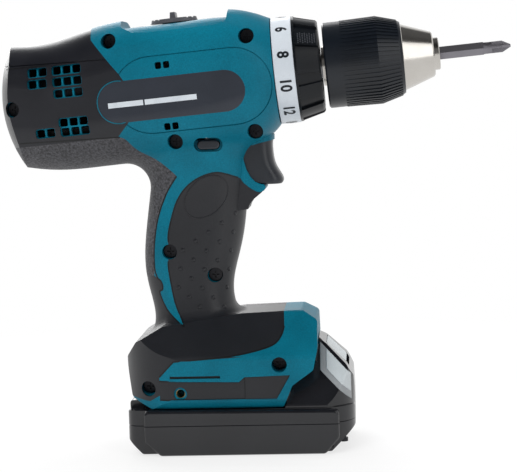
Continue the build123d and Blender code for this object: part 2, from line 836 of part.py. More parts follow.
# ---------------------------------------------------------------- switch and terminals
with BuildPart() as switch_body:
    with Locations(((switch_front + switch_rear) / 2, 0, (switch_low + switch_top) / 2)):
        Box(switch_front - switch_rear, 2 * switch_half_width, switch_top - switch_low)
    fillet(switch_body.edges().filter_by(Axis.Y), 1.5)
    with BuildSketch(Plane.YZ.offset(switch_front)):
        with Locations((0, plunger_height)):
            Circle(plunger_radius + fit)
    extrude(amount=-plunger_length, mode=Mode.SUBTRACT)

with BuildPart() as trigger_spring:
    with BuildLine() as coil:
        Helix(
            pitch=1.7, height=trigger_back - switch_front - 1.2, radius=plunger_radius + 1.1,
            center=(switch_front + 0.6, 0, plunger_height), direction=(1, 0, 0),
        )
    with BuildSketch(Plane(origin=coil.line @ 0, z_dir=coil.line % 0)):
        RegularPolygon(return_spring_wire, 6)
    sweep()

with BuildPart() as terminal_block:
    with Locations((-27.0, 0, channel_roof - 1.7)):
        Box(22.0, 36.0, 3.4)
    with Locations((-14.0, 0, channel_roof - 1.5)):
        with GridLocations(1, 12.0, 1, 3):
            Box(4.6, 1.0, 2.4)

# ---------------------------------------------------------------- speed selector
with BuildPart() as speed_selector:
    slider_plane = Plane(origin=(0, 0, barrel_height), x_dir=forward, z_dir=(-tilt_sin, 0, tilt_cos))
    slider_centre = selector_start + selector_length / 2
    floor_height = barrel_sections[3][1] - selector_floor
    with BuildSketch(slider_plane.offset(floor_height + selector_lift)):
        with Locations((slider_centre, 0)):
            Ellipse(selector_length / 2, 7.4)
    extrude(amount=2.0, taper=18)
    with BuildSketch(slider_plane.offset(floor_height + selector_lift)):
        with Locations((slider_centre, 0)):
            Rectangle(3.4, 11.0)
    extrude(amount=5.0, taper=6)
    with BuildSketch(slider_plane.offset(floor_height + selector_lift)):
        with Locations((slider_centre, 0)):
            SlotOverall(selector_length - 12.0, 8.0 - 2 * running_gap)
    extrude(amount=-5.0)
    with BuildSketch(slider_plane.offset(floor_height + selector_lift + 2.6)):
        with Locations((slider_centre, 0)):
            with GridLocations(selector_length - 9.6, 1, 2, 1):
                with GridLocations(2.4, 1, 3, 1):
                    Rectangle(0.9, 12.0)
    extrude(amount=-1.2, mode=Mode.SUBTRACT)

# ---------------------------------------------------------------- motor
brush_width = 5.0
commutator_radius = 6.0
armature_radius = motor_radius - motor_can_wall - magnet_thickness - air_gap
core_start, core_end = motor_rear + 13.0, case_start - 13.0

with BuildPart() as motor_can:
    add(tube(motor_rear, case_start, motor_radius))
    add(tube(motor_rear, case_start - motor_can_wall, motor_radius - motor_can_wall), mode=Mode.SUBTRACT)
    add(tube(motor_rear, case_start + lap, shaft_radius + fit), mode=Mode.SUBTRACT)

with BuildPart() as motor_magnets:
    magnet_outer = motor_radius - motor_can_wall
    add(tube(core_start - 2, core_end + 2, magnet_outer, magnet_outer - magnet_thickness))
    with BuildSketch(across(core_start - 4)):
        Rectangle(11.0, 3 * motor_radius)
    extrude(amount=core_end - core_start + 8, mode=Mode.SUBTRACT)

with BuildPart() as brush_holder:
    add(tube(motor_rear - 2.4, motor_rear, motor_radius, shaft_radius + fit))
    with BuildSketch(across(motor_rear)):
        with PolarLocations(11.5, 2, start_angle=90):
            Rectangle(7.0, brush_width + 3.0)
    extrude(amount=9.0)
    with BuildSketch(across(motor_rear + 3.0)):
        with PolarLocations(11.5, 2, start_angle=90):
            Rectangle(9.0, brush_width)
    extrude(amount=brush_width, mode=Mode.SUBTRACT)

with BuildPart() as motor_brushes:
    brush_length = 14.0 - commutator_radius - fit
    with BuildSketch(across(motor_rear + 3.0)):
        with PolarLocations(commutator_radius + fit + brush_length / 2, 2, start_angle=90):
            Rectangle(brush_length, brush_width)
    extrude(amount=brush_width)
    add(tube(motor_rear, core_end, commutator_radius + fit), mode=Mode.SUBTRACT)

with BuildPart() as armature:
    add(tube(motor_rear - 2.2, gearbox_start + gear_width - stage_gap, shaft_radius))
    add(tube(core_start, core_end, armature_radius))
    with BuildSketch(across(core_start)):
        with PolarLocations(armature_radius - 2.5, 5):
            Rectangle(7.0, 2.0)
    extrude(amount=core_end - core_start, mode=Mode.SUBTRACT)

with BuildPart() as windings:
    add(tube(core_start - 3.0, core_start, armature_radius - 2.5, shaft_radius))
    add(tube(core_end, core_end + 3.0, armature_radius - 2.5, shaft_radius))
    fillet(windings.edges().filter_by(GeomType.CIRCLE).group_by(SortBy.RADIUS)[-1], 1.2)

with BuildPart() as commutator:
    add(tube(motor_rear + 2.0, core_start - 3.0, commutator_radius, shaft_radius))

with BuildPart() as motor_fan:
    fan_radius = armature_radius + 2.0
    add(tube(core_end + 3.5, core_end + 5.0, fan_radius, shaft_radius))
    add(tube(core_end + 3.5, core_end + 10.5, shaft_radius + 2.0, shaft_radius))
    with BuildSketch(across(core_end + 5.0)):
        with PolarLocations((fan_radius + shaft_radius + 1.6) / 2, fan_blades):
            Rectangle(fan_radius - shaft_radius - 2.0, 1.0)
    extrude(amount=5.0)


# ---------------------------------------------------------------- planetary gearbox
def involute(angle):
    return math.tan(angle) - angle


def gear_face(plane, centre, teeth, addendum, dedendum, slack, phase):
    """Spur gear outline with involute flanks. phase is the direction of one tooth in degrees."""
    pitch_radius = gear_module * teeth / 2
    pressure = math.radians(tooth_pressure_angle)
    base = pitch_radius * math.cos(pressure)

    def flank(radius, tooth, side):
        roll = math.acos(min(1.0, base / radius))
        half = math.pi / (2 * teeth) - slack / (4 * pitch_radius) + involute(pressure) - involute(roll)
        angle = math.radians(phase) + 2 * math.pi * tooth / teeth + side * half
        return (centre[0] + radius * math.cos(angle), centre[1] + radius * math.sin(angle))

    root, tip = pitch_radius - dedendum * gear_module, pitch_radius + addendum * gear_module
    with BuildSketch(plane) as face:
        with BuildLine():
            for tooth in range(teeth):
                rise = [flank(radius, tooth, -1) for radius in (root, pitch_radius, tip)]
                fall = [flank(radius, tooth, 1) for radius in (tip, pitch_radius, root)]
                ThreePointArc(*rise)
                Line(rise[2], fall[0])
                ThreePointArc(*fall)
                Line(fall[2], flank(root, (tooth + 1) % teeth, -1))
        make_face()
    return face.sketch


tooth_depth = tooth_addendum + 0.25
planet_orbit = gear_module * (sun_teeth + planet_teeth) / 2
planet_angles = [90 + 360 * planet / planet_count for planet in range(planet_count)]


def sun_gear(start, length):
    """Sun gear with a tooth at the top, from start forward along the axis."""
    with BuildPart() as gear:
        face = gear_face(across(start), (0, 0), sun_teeth, tooth_addendum, tooth_depth, tooth_backlash, 90)
        extrude(face, amount=length, dir=forward)
    return gear.part


def stage_start(stage):
    return gearbox_start + stage * stage_length


def carrier_plate(stage):
    """Carrier of one stage: a plate with a pin for each planet."""
    plate = stage_start(stage) + gear_width + stage_gap
    with BuildPart() as carrier:
        with BuildSketch(across(plate)):
            Circle(planet_orbit + planet_pin_radius + 1.8)
        extrude(amount=carrier_thickness)
        with BuildSketch(across(stage_start(stage))):
            with PolarLocations(planet_orbit, planet_count, start_angle=90):
                Circle(planet_pin_radius)
        extrude(amount=gear_width + 2 * stage_gap)
    return carrier.part


with BuildPart() as pinion:
    add(sun_gear(gearbox_start, gear_width - stage_gap))
    add(tube(gearbox_start - lap, stage_start(1), shaft_radius), mode=Mode.SUBTRACT)

for stage in range(stage_count):
    for number, angle in enumerate(planet_angles):
        with BuildPart() as planet:
            spot = (planet_orbit * math.cos(math.radians(angle)), planet_orbit * math.sin(math.radians(angle)))
            tooth_at = angle + 180 / planet_teeth
            face = gear_face(
                across(stage_start(stage)), spot, planet_teeth, tooth_addendum, tooth_depth,
                tooth_backlash, tooth_at,
            )
            extrude(face, amount=gear_width, dir=forward)
            with BuildSketch(across(stage_start(stage))):
                with Locations(spot):
                    Circle(planet_pin_radius + fit)
            extrude(amount=gear_width, mode=Mode.SUBTRACT)
        planet.part.label = f"planet_gear_{stage + 1}_{number + 1}"
        export_step(planet.part, f"parts/{planet.part.label}.step")

for stage in range(stage_count - 1):
    with BuildPart() as carrier:
        add(carrier_plate(stage))
        add(sun_gear(stage_start(stage + 1) - stage_gap, gear_width))
    carrier.part.label = f"carrier_{stage + 1}"
    export_step(carrier.part, f"parts/{carrier.part.label}.step")

with BuildPart() as ring_gears:
    half_pitch = 180 / ring_teeth
    for stage in range(stage_count):
        add(tube(stage_start(stage), stage_start(stage) + gear_width, ring_outer))
    for stage in range(stage_count):
        space = gear_face(
            across(stage_start(stage) - lap), (0, 0), ring_teeth, tooth_depth, tooth_addendum,
            -tooth_backlash, 90 + half_pitch,
        )
        extrude(space, amount=gear_width + 2 * lap, dir=forward, mode=Mode.SUBTRACT)

with BuildPart() as spindle:
    add(carrier_plate(stage_count - 1))
    add(tube(stage_start(stage_count - 1) + gear_width + stage_gap, spindle_end, spindle_radius))

with BuildPart() as gear_case:
    add(
        turned([
            (case_start, shaft_radius + 4.0), (case_start, case_radius), (case_shoulder, case_radius),
            (case_shoulder, neck_radius), (nose_face, neck_radius), (nose_face, clutch_flange_radius),
            (nose_face + 1.2, clutch_flange_radius), (nose_face + 1.2, neck_radius), (neck_end, neck_radius),
            (neck_end, spindle_bearing_radius), (case_shoulder - 3.0, spindle_bearing_radius),
            (case_shoulder - 3.0, ring_outer), (gearbox_start - stage_gap, ring_outer),
            (gearbox_start - stage_gap, shaft_radius + 4.0),
        ])
    )

with BuildPart() as spindle_bearings:
    for start in (case_shoulder - 2.0, neck_end - bearing_width - 1.0):
        add(tube(start, start + bearing_width, spindle_bearing_radius, spindle_radius + fit))

# ---------------------------------------------------------------- clutch and torque ring
with BuildPart() as clutch_spring:
    spring_start = nose_face + 1.2 + clutch_wire_radius
    with BuildLine() as coil:
        Helix(
            pitch=clutch_pitch, height=clutch_spring_length, radius=clutch_spring_radius,
            center=across(spring_start).origin, direction=forward,
        )
    with BuildSketch(Plane(origin=coil.line @ 0, z_dir=coil.line % 0)):
        RegularPolygon(clutch_wire_radius, 8)
    sweep()

thrust_start = spring_start + clutch_spring_length + clutch_wire_radius
with BuildPart() as thrust_washer:
    add(tube(thrust_start, torque_wall - running_gap, clutch_flange_radius, neck_radius))

with BuildPart() as torque_lobe_bars:
    # broad finger lobes, with a gap as wide as a lobe between each two
    with BuildSketch(across(torque_step)):
        with PolarLocations(torque_radius - 2.4, torque_lobes, start_angle=lobe_start):
            Rectangle(6.0, lobe_width)
    extrude(amount=torque_front - torque_step)
    add(
        turned([
            (torque_step, torque_bore + 0.6), (torque_step, torque_radius - 0.4),
            (torque_step + 1.2, torque_radius - 0.4), (torque_front - 0.8, torque_front_radius + 0.2),
            (torque_front, torque_front_radius - 0.7), (torque_front, torque_front_radius - 2.6),
            (torque_wall, torque_bore + 0.6),
        ]),
        mode=Mode.INTERSECT,
    )

with BuildPart() as torque_ring:
    add(
        turned([
            (torque_rear, torque_bore), (torque_rear, torque_radius - scale_thickness),
            (torque_step, torque_radius - scale_thickness), (torque_step, torque_radius),
            (torque_step + 1.2, torque_radius), (torque_step + 1.2, torque_radius - lobe_height - 0.6),
            (torque_front - 0.6, torque_front_radius - lobe_height), (torque_front, torque_front_radius - 1.8),
            (torque_front, neck_radius + fit), (torque_wall, neck_radius + fit), (torque_wall, torque_bore),
        ])
    )
    add(torque_lobe_bars.part)

with BuildPart() as torque_scale:
    add(tube(torque_rear, torque_step, torque_radius + 0.3, torque_radius - scale_thickness))
    fillet(torque_scale.edges().filter_by(GeomType.CIRCLE).group_by(SortBy.RADIUS)[-1], 0.4)

# ---------------------------------------------------------------- keyless chuck
jaw_tangent = math.tan(math.radians(jaw_slope))
jaw_cosine = math.cos(math.radians(jaw_slope))


def jaw_rod(angle, radius, length):
    """Round rod along the slanting axis of the jaw at the given angle round the chuck."""
    front = jaw_front + 2 * jaw_radius
    front_radius = jaw_front_radius - 2 * jaw_radius * jaw_tangent
    face = across(front)
    outward = face.x_dir * math.cos(math.radians(angle)) + face.y_dir * math.sin(math.radians(angle))
    back = outward * math.sin(math.radians(jaw_slope)) - face.z_dir * jaw_cosine
    with BuildPart() as rod:
        with BuildSketch(Plane(origin=face.origin + outward * front_radius, z_dir=back)):
            Circle(radius)
        extrude(amount=length + 2 * jaw_radius / jaw_cosine)
    return rod.part


with BuildPart() as chuck_body:
    barrel_radius = sleeve_bore - fit
    add(
        turned([
            (chuck_rear, spindle_radius), (chuck_rear, 10.0), (sleeve_rear + 1.6, 10.0),
            (sleeve_rear + 1.6, barrel_radius), (nut_rear - running_gap, barrel_radius),
            (nut_rear - running_gap, nut_groove_radius), (nut_front + running_gap, nut_groove_radius),
            (nut_front + running_gap, barrel_radius), (sleeve_front - 0.4, barrel_radius),
            (sleeve_front + 0.3, nose_radius), (nose_front - 0.6, nose_front_radius),
            (nose_front, nose_front_radius - 0.8), (nose_front, collar_radius), (collar_front - 0.4, collar_radius),
            (collar_front, collar_radius - 0.4), (collar_front, chuck_bore), (chuck_bore_end, chuck_bore),
            (chuck_bore_end, 3.4), (spindle_end, 3.4), (spindle_end, spindle_radius),
        ])
    )
    for angle in planet_angles:
        add(jaw_rod(angle, jaw_radius + fit, jaw_length + jaw_travel + lap), mode=Mode.SUBTRACT)

with BuildPart() as chuck_screw:
    add(tube(spindle_end, spindle_end + 6.0, 3.4))
    add(tube(chuck_bore_end, chuck_bore_end + 2.0, 5.0))
    add(tube(spindle_end, chuck_bore_end + 2.0, 2.4))

for number, angle in enumerate(planet_angles):
    with BuildPart() as jaw:
        add(jaw_rod(angle, jaw_radius, jaw_length))
        add(tube(chuck_rear, jaw_front, 4 * jaw_radius + jaw_front_radius), mode=Mode.INTERSECT)
        with BuildSketch(across(chuck_rear)):
            with Locations(Location((0, 0), angle - 90)):
                with Locations((0, bit_across_flats / 2 + fit - 5.0)):
                    Rectangle(4 * jaw_radius, 10.0)
        extrude(amount=2 * jaw_front, mode=Mode.SUBTRACT)
    jaw.part.label = f"jaw_{number + 1}"
    export_step(jaw.part, f"parts/{jaw.part.label}.step")


def nut_bore(u):
    """Radius at which the slanting jaws just clear the nut."""
    return jaw_front_radius + (jaw_front - u) * jaw_tangent + jaw_radius / jaw_cosine + fit


with BuildPart() as chuck_nut:
    add(
        turned([
            (nut_rear, nut_bore(nut_rear)), (nut_rear, sleeve_bore), (nut_front, sleeve_bore),
            (nut_front, nut_bore(nut_front)),
        ])
    )

with BuildPart() as chuck_sleeve:
    rib_envelope = [
        (rib_start, sleeve_bore + 1), (rib_start, sleeve_rear_radius + 0.2),
        (sleeve_widest, sleeve_widest_radius), (sleeve_front - 1.5, sleeve_front_radius + 0.5),
        (sleeve_front - 1.5, sleeve_bore + 0.3),
    ]
    with BuildSketch(across(rib_start)):
        with PolarLocations(sleeve_rear_radius, sleeve_ribs):
            Rectangle(6.0, 1.0)
    extrude(amount=sleeve_front - rib_start)
    add(turned(rib_envelope), mode=Mode.INTERSECT)
    add(
        turned([
            (sleeve_rear, sleeve_bore), (sleeve_rear, sleeve_rear_radius - 0.8),
            (sleeve_rear + 0.8, sleeve_rear_radius), (rib_start, sleeve_rear_radius),
            (sleeve_widest, sleeve_widest_radius - rib_height), (sleeve_front - 1.2, sleeve_front_radius),
            (sleeve_front, sleeve_front_radius - 1.0 + 0.2), (sleeve_front, sleeve_bore),
        ])
    )

# ---------------------------------------------------------------- screwdriver bit
with BuildPart() as bit:
    with BuildSketch(across(bit_rear)):
        RegularPolygon(bit_across_flats / 2, 6, major_radius=False)
    extrude(amount=bit_neck - bit_rear)
    add(
        turned([
            (bit_neck - lap, 0), (bit_neck - lap, 3.1), (bit_neck + 1.4, 2.9), (bit_tip - 4.2, 2.9),
            (bit_tip, 0.7), (bit_tip, 0),
        ])
    )
    add(
        turned([
            (bit_rear - lap, 0), (bit_rear, bit_across_flats / 2 - 0.2), (bit_rear + 0.8, bit_across_flats),
            (bit_neck - 0.8, bit_across_flats), (bit_neck + 0.4, 3.3), (bit_tip + lap, 3.3),
            (bit_tip + lap, 0),
        ]),
        mode=Mode.INTERSECT,
    )
    with BuildSketch(across(bit_tip - flute_length)):
        with PolarLocations(3.1, 4, start_angle=45):
            Rectangle(3.0, 3.0, rotation=45)
    extrude(amount=flute_length + lap, mode=Mode.SUBTRACT)

# ---------------------------------------------------------------- battery
button_slope = Plane(origin=(47.1, 0, 47.4), x_dir=(1, 0, -1), z_dir=(1, 0, 1))

with BuildPart() as battery_form:
    # low body with a deep raised pad on each flank
    with BuildSketch(Plane.XZ) as side:
        with BuildLine():
            Polyline(
                (battery_rear, battery_top), (battery_rear, 8.0), (-50.0, 0.8), (44.0, 0.8),
                (battery_front, 12.0), (battery_front, battery_top), close=True,
            )
        make_face()
        fillet(side.vertices(), 1.6)
    extrude(amount=battery_half_width, both=True)
    with BuildSketch() as plan:
        with Locations(((battery_rear + battery_front) / 2, 0)):
            Rectangle(battery_front - battery_rear, 2 * battery_half_width)
        fillet(plan.vertices().group_by(Axis.X)[-1], 16.0)
        fillet(plan.vertices().group_by(Axis.X)[0], 7.0)
    extrude(amount=2 * battery_top, mode=Mode.INTERSECT)
    with BuildSketch(Plane.XZ) as side:
        with BuildLine():
            Polyline(
                (-49.0, battery_top + 0.2), (-49.0, 7.0), (-41.0, 0), (41.0, 0), (48.0, 8.0),
                (48.0, battery_top - 0.6), close=True,
            )
        make_face()
        fillet(side.vertices(), 2.5)
    extrude(amount=battery_pad_half_width, both=True)
    rims = [edge for edge in battery_form.edges() if abs(abs(edge.center().Y) - battery_pad_half_width) < 0.01]
    fillet(rims, 1.5)
    # knuckle at the rear, narrow enough to run through the slot in the foot
    with BuildSketch(Plane.XZ) as side:
        with BuildLine():
            Polyline(
                (battery_rear + 0.4, battery_top - 2.0), (battery_rear + 0.4, battery_top + knuckle_height),
                (knuckle_front - 1.0, battery_top + knuckle_height), (knuckle_front, battery_top - 2.0), close=True,
            )
        make_face()
        fillet(side.vertices().group_by(Axis.Y)[-1], 1.4)
    extrude(amount=rail_half_width - rail_lip - running_gap, both=True)

with BuildPart() as battery_hood:
    # snout in front of the foot, crossed from its side, front and top outlines
    with BuildSketch(Plane.XZ) as side:
        with BuildLine():
            Polyline(
                (21.2, 10.0), (21.2, battery_top), (26.1, 34.3), (36.4, 41.6), (38.6, 51.8), (38.6, 54.8),
                (42.2, 52.2), (52.0, 42.5), (55.4, 36.6), (battery_front, 28.0), (battery_front, 14.0),
                (52.0, 10.0), close=True,
            )
        make_face()
        fillet(side.vertices().sort_by(Axis.X)[-5:], 1.5)
    extrude(amount=battery_half_width, both=True)
    with BuildSketch(Plane.YZ) as front:
        with BuildLine():
            Polyline(
                (-32.5, 10), (32.5, 10), (32.5, 24.0), (27.0, 36.0), (16.5, 53.0), (9.0, 56.0), (-9.0, 56.0),
                (-16.5, 53.0), (-27.0, 36.0), (-32.5, 24.0), close=True,
            )
        make_face()
        fillet(front.vertices().sort_by(Axis.Y)[1:-1], 3.0)
    extrude(amount=2 * battery_front, both=True, mode=Mode.INTERSECT)
    with BuildSketch() as plan:
        with Locations((0, 0)):
            Rectangle(2 * battery_front, 2 * battery_half_width)
        fillet(plan.vertices().group_by(Axis.X)[-1], 20.0)
    extrude(amount=4 * battery_top, mode=Mode.INTERSECT)


def button_slab(half_length, half_width, outside, inside):
    """Block square to the sloping front of the hood, from outside it to inside it."""
    with BuildPart() as slab:
        with BuildSketch(button_slope.offset(outside)):
            RectangleRounded(2 * half_length, 2 * half_width, 1.5)
        extrude(amount=-outside - inside)
    return slab.part


with BuildPart() as release_button:
    add(battery_hood.part)
    add(button_slab(button_half_length, button_half_width, 8.0, button_thickness), mode=Mode.INTERSECT)
    with Locations((34.0, 0, arm_low + arm_thickness / 2)):
        Box(26.0, 2 * arm_half_width, arm_thickness)
    with Locations((latch_post, 0, arm_low + 6.5)):
        Box(5.0, 2 * arm_half_width, 13.0)
    with Locations((latch_tooth, 0, arm_low + 1.4)):
        Box(3.0, 2 * arm_half_width, 2.8)

with BuildPart() as button_ways:
    add(button_slab(button_half_length + running_gap, button_half_width + running_gap, 8.0, button_thickness + 2.6))
    with Locations((1.6, 0, -1.6)):
        add(
            button_slab(button_half_length + running_gap, button_half_width + running_gap, 2.0, button_thickness + 2.6)
        )
    slot_low = arm_low - button_travel - running_gap
    with Locations((33.0, 0, slot_low + 3.6)):
        Box(29.4, 2 * arm_half_width + 2 * running_gap, 7.2)
    with Locations((latch_post, 0, slot_low + 9.0)):
        Box(5.6, 2 * arm_half_width + 2 * running_gap, 18.0)
    with BuildSketch(Plane.XY.offset(battery_top + 0.6)):
        with Locations((latch_post, 0)):
            Circle(3.6)
    extrude(amount=8.0)

with BuildPart() as release_spring:
    with BuildLine() as coil:
        Helix(
            pitch=1.6, height=arm_low - battery_top - 2.0, radius=2.6,
            center=(latch_post, 0, battery_top + 1.2),
        )
    with BuildSketch(Plane(origin=coil.line @ 0, z_dir=coil.line % 0)):
        RegularPolygon(return_spring_wire, 6)
    sweep()

with BuildPart() as battery_inside:
    # room for the row of cells and for the circuit board in the rail deck above it
    with Locations((-2.0, 0, battery_floor + cell_radius)):
        Box(5 * 2 * cell_radius + 1.6, cell_length + 0.8, 2 * cell_radius + 0.2)
    with Locations((-10.0, 0, 24.0)):
        Box(44.0, 44.0, 9.0)

with BuildPart() as battery_whole:
    add(battery_form.part)
    add(battery_hood.part)
    with Locations(((deck_rear + 24.0) / 2, 0, (battery_top + rail_top - running_gap) / 2)):
        Box(24.0 - deck_rear, 2 * (rail_half_width - rail_lip), rail_top - running_gap - battery_top + 0.2)
    with Locations(((deck_rear + 24.0) / 2, 0, (front_floor + running_gap + rail_top) / 2)):
        Box(24.0 - deck_rear, 2 * rail_half_width, rail_top - front_floor - running_gap)
    with Locations((deck_rear + 14.5, 0, rail_top)):
        Box(31.0, 37.0, 8.4, mode=Mode.SUBTRACT)
    add([battery_inside.part, button_ways.part], mode=Mode.SUBTRACT)

with BuildPart() as below_seam:
    with Locations((0, 0, battery_seam / 2)):
        Box(4 * battery_front, 4 * battery_half_width, battery_seam)

with BuildPart() as battery_lower_case:
    add(battery_whole.part)
    add(below_seam.part, mode=Mode.INTERSECT)
    seam_edges = [
        edge for edge in battery_lower_case.faces().sort_by(Axis.Z)[-1].outer_wire().edges()
        if abs(edge.center().Z - battery_seam) < 0.01
    ]
    chamfer(seam_edges, seam_chamfer)
    for x, y in battery_screw_places:
        add(Pos(x, y, 0) * Cylinder(2.6, 2 * battery_screw_sink, mode=Mode.PRIVATE), mode=Mode.SUBTRACT)
        add(Pos(x, y, 0) * Cylinder(battery_screw_radius, 2 * battery_seam, mode=Mode.PRIVATE), mode=Mode.SUBTRACT)

with BuildPart() as battery_upper_case:
    add(battery_whole.part)
    add(below_seam.part, mode=Mode.SUBTRACT)
    for x, y in battery_screw_places:
        add(Pos(x, y, 0) * Cylinder(battery_screw_radius, 2 * battery_screw_end, mode=Mode.PRIVATE), mode=Mode.SUBTRACT)

with BuildPart() as battery_cells:
    with BuildSketch(Plane.XZ):
        with Locations((-2.0, battery_floor + cell_radius)):
            with GridLocations(2 * cell_radius + 0.1, 1, 5, 1):
                Circle(cell_radius)
    extrude(amount=cell_length / 2, both=True)

with BuildPart() as battery_board:
    with Locations((-8.0, 0, battery_floor + 2 * cell_radius + 1.2)):
        Box(38.0, 42.0, 1.6)
    with Locations((-10.0, 0, battery_floor + 2 * cell_radius + 3.2)):
        with GridLocations(1, 12.0, 1, 3):
            Box(5.0, 2.2, 3.0)

with BuildPart() as battery_screws:
    for x, y in battery_screw_places:
        add(Pos(x, y, battery_screw_sink - 0.9) * Cylinder(2.4, 1.8, mode=Mode.PRIVATE))
        shank = battery_screw_end - battery_screw_sink
        add(Pos(x, y, battery_screw_sink + shank / 2) * Cylinder(battery_screw_radius, shank, mode=Mode.PRIVATE))

# ---------------------------------------------------------------- write every piece
pieces = {
    "right_housing": right_housing, "left_housing": left_housing, "right_motor_cover": right_motor_cover,
    "left_motor_cover": left_motor_cover, "right_grip": right_grip, "left_grip": left_grip,
    "back_grip": back_grip, "label_plate": label_plate, "housing_screws": housing_screws,
    "hook_inserts": hook_inserts, "switch_body": switch_body, "trigger_spring": trigger_spring,
    "terminal_block": terminal_block, "speed_selector": speed_selector, "motor_can": motor_can,
    "motor_magnets": motor_magnets, "brush_holder": brush_holder, "motor_brushes": motor_brushes,
    "armature": armature, "windings": windings, "commutator": commutator, "motor_fan": motor_fan,
    "pinion": pinion, "ring_gears": ring_gears, "spindle": spindle, "gear_case": gear_case,
    "spindle_bearings": spindle_bearings, "clutch_spring": clutch_spring, "thrust_washer": thrust_washer,
    "torque_ring": torque_ring, "torque_scale": torque_scale, "chuck_body": chuck_body,
    "chuck_screw": chuck_screw, "chuck_nut": chuck_nut, "chuck_sleeve": chuck_sleeve, "bit": bit,
    "release_button": release_button, "release_spring": release_spring,
    "battery_lower_case": battery_lower_case, "battery_upper_case": battery_upper_case,
    "battery_cells": battery_cells, "battery_board": battery_board, "battery_screws": battery_screws,
}
for name, piece in pieces.items():
    piece.part.label = name
    export_step(piece.part, f"parts/{name}.step")
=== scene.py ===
import math
import bmesh
import bpy
from mathutils import Matrix, Vector


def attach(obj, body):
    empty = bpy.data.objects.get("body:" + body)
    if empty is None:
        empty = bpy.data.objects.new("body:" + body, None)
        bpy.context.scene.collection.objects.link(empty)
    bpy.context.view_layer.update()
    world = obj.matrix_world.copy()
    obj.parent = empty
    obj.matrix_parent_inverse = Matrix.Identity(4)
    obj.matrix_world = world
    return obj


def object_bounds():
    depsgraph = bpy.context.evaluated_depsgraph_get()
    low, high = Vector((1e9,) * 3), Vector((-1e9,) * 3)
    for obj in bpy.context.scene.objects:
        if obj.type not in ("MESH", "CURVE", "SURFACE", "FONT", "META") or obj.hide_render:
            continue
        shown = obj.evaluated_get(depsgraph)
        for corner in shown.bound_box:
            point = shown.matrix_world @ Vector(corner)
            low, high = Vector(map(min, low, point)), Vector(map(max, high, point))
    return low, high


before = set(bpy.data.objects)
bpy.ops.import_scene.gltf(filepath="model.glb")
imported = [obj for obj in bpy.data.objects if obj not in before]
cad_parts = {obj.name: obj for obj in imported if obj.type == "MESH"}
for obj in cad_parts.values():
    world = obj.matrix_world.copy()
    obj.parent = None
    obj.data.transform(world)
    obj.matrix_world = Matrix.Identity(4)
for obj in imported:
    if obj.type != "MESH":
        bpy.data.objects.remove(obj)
cad_low, cad_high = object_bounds()

# ---------------------------------------------------------------- camera
# A long lens a little above the middle of the drill, square to its right side.
# The picture is turned slightly, so that the battery's base slopes up to the right.
mm = 0.001
target = Vector((8.54, 0, 105.68)) * mm
azimuth, elevation, roll = math.radians(3.5), math.radians(5.0), math.radians(1.65)
back = Vector((
    math.sin(azimuth) * math.cos(elevation),
    -math.cos(azimuth) * math.cos(elevation),
    math.sin(elevation),
))
level = Vector((math.cos(azimuth), math.sin(azimuth), 0))
upright = back.cross(level)
right = math.cos(roll) * level - math.sin(roll) * upright
above = math.sin(roll) * level + math.cos(roll) * upright
distance = 0.9
lens_data = bpy.data.cameras.new("camera")
lens_data.sensor_width = 36.0
lens_data.lens = 122.8317
lens_data.clip_start = 0.05
camera = bpy.data.objects.new("camera", lens_data)
bpy.context.scene.collection.objects.link(camera)
turn = Matrix((right, above, back)).transposed().to_4x4()
camera.matrix_world = Matrix.Translation(target + back * distance) @ turn
bpy.context.scene.camera = camera


# ---------------------------------------------------------------- studio
# White paper floor under broad soft boxes, with a white room all round.
# The paper is nearly as bright as the room and keeps a faint shadow of the drill.
def tone(code, alpha=1.0):
    """Linear colour of an sRGB hex value."""
    parts = [int(code[i:i + 2], 16) / 255 for i in (1, 3, 5)]
    return [p / 12.92 if p <= 0.04045 else ((p + 0.055) / 1.055) ** 2.4 for p in parts] + [alpha]


def put(tree, kind, settings=None, inputs=None):
    """Adds one node. Settings are its own choices; inputs are values or the sockets that feed it."""
    node = tree.nodes.new("ShaderNode" + kind)
    for name, value in (settings or {}).items():
        setattr(node, name, value)
    for name, value in (inputs or {}).items():
        socket = node.inputs[name]
        if isinstance(value, bpy.types.NodeSocket):
            tree.links.new(value, socket)
        else:
            socket.default_value = value
    return node


room = bpy.data.worlds.new("white_room")
bpy.context.scene.world = room
room.use_nodes = True
walls = room.node_tree
room_light = walls.nodes["Background"]
room_light.inputs["Color"].default_value = tone("#ffffff")
times, larger = {"operation": "MULTIPLY"}, {"operation": "MAXIMUM"}
ray = put(walls, "LightPath").outputs
aim = put(walls, "SeparateXYZ", None, {0: put(walls, "TexCoord").outputs["Generated"]}).outputs
# mirrors see white paper behind and below, a dim room in front and a dark ceiling
behind = put(walls, "MapRange", None,
             {"Value": aim["Y"], "From Min": -0.45, "From Max": 0.1, "To Min": 0.17})
ceiling = put(walls, "MapRange", None,
              {"Value": aim["Z"], "From Min": 0.55, "From Max": 0.7, "To Min": 1.0, "To Max": 0.12})
mirrored = put(walls, "Math", times, {0: behind.outputs[0], 1: ceiling.outputs[0]})
mirrored = put(walls, "Math", times, {0: mirrored.outputs[0], 1: ray["Is Glossy Ray"]})
# the eye sees white, also through glass, and matt faces get a fraction of the white
seen = put(walls, "Math", larger, {0: ray["Is Camera Ray"], 1: ray["Is Transmission Ray"]})
seen = put(walls, "Math", larger, {0: seen.outputs[0], 1: mirrored.outputs[0]})
matt = put(walls, "Math", times, {0: ray["Is Diffuse Ray"], 1: 0.28})
strength = put(walls, "Math", larger, {0: seen.outputs[0], 1: matt.outputs[0]})
walls.links.new(strength.outputs[0], room_light.inputs["Strength"])

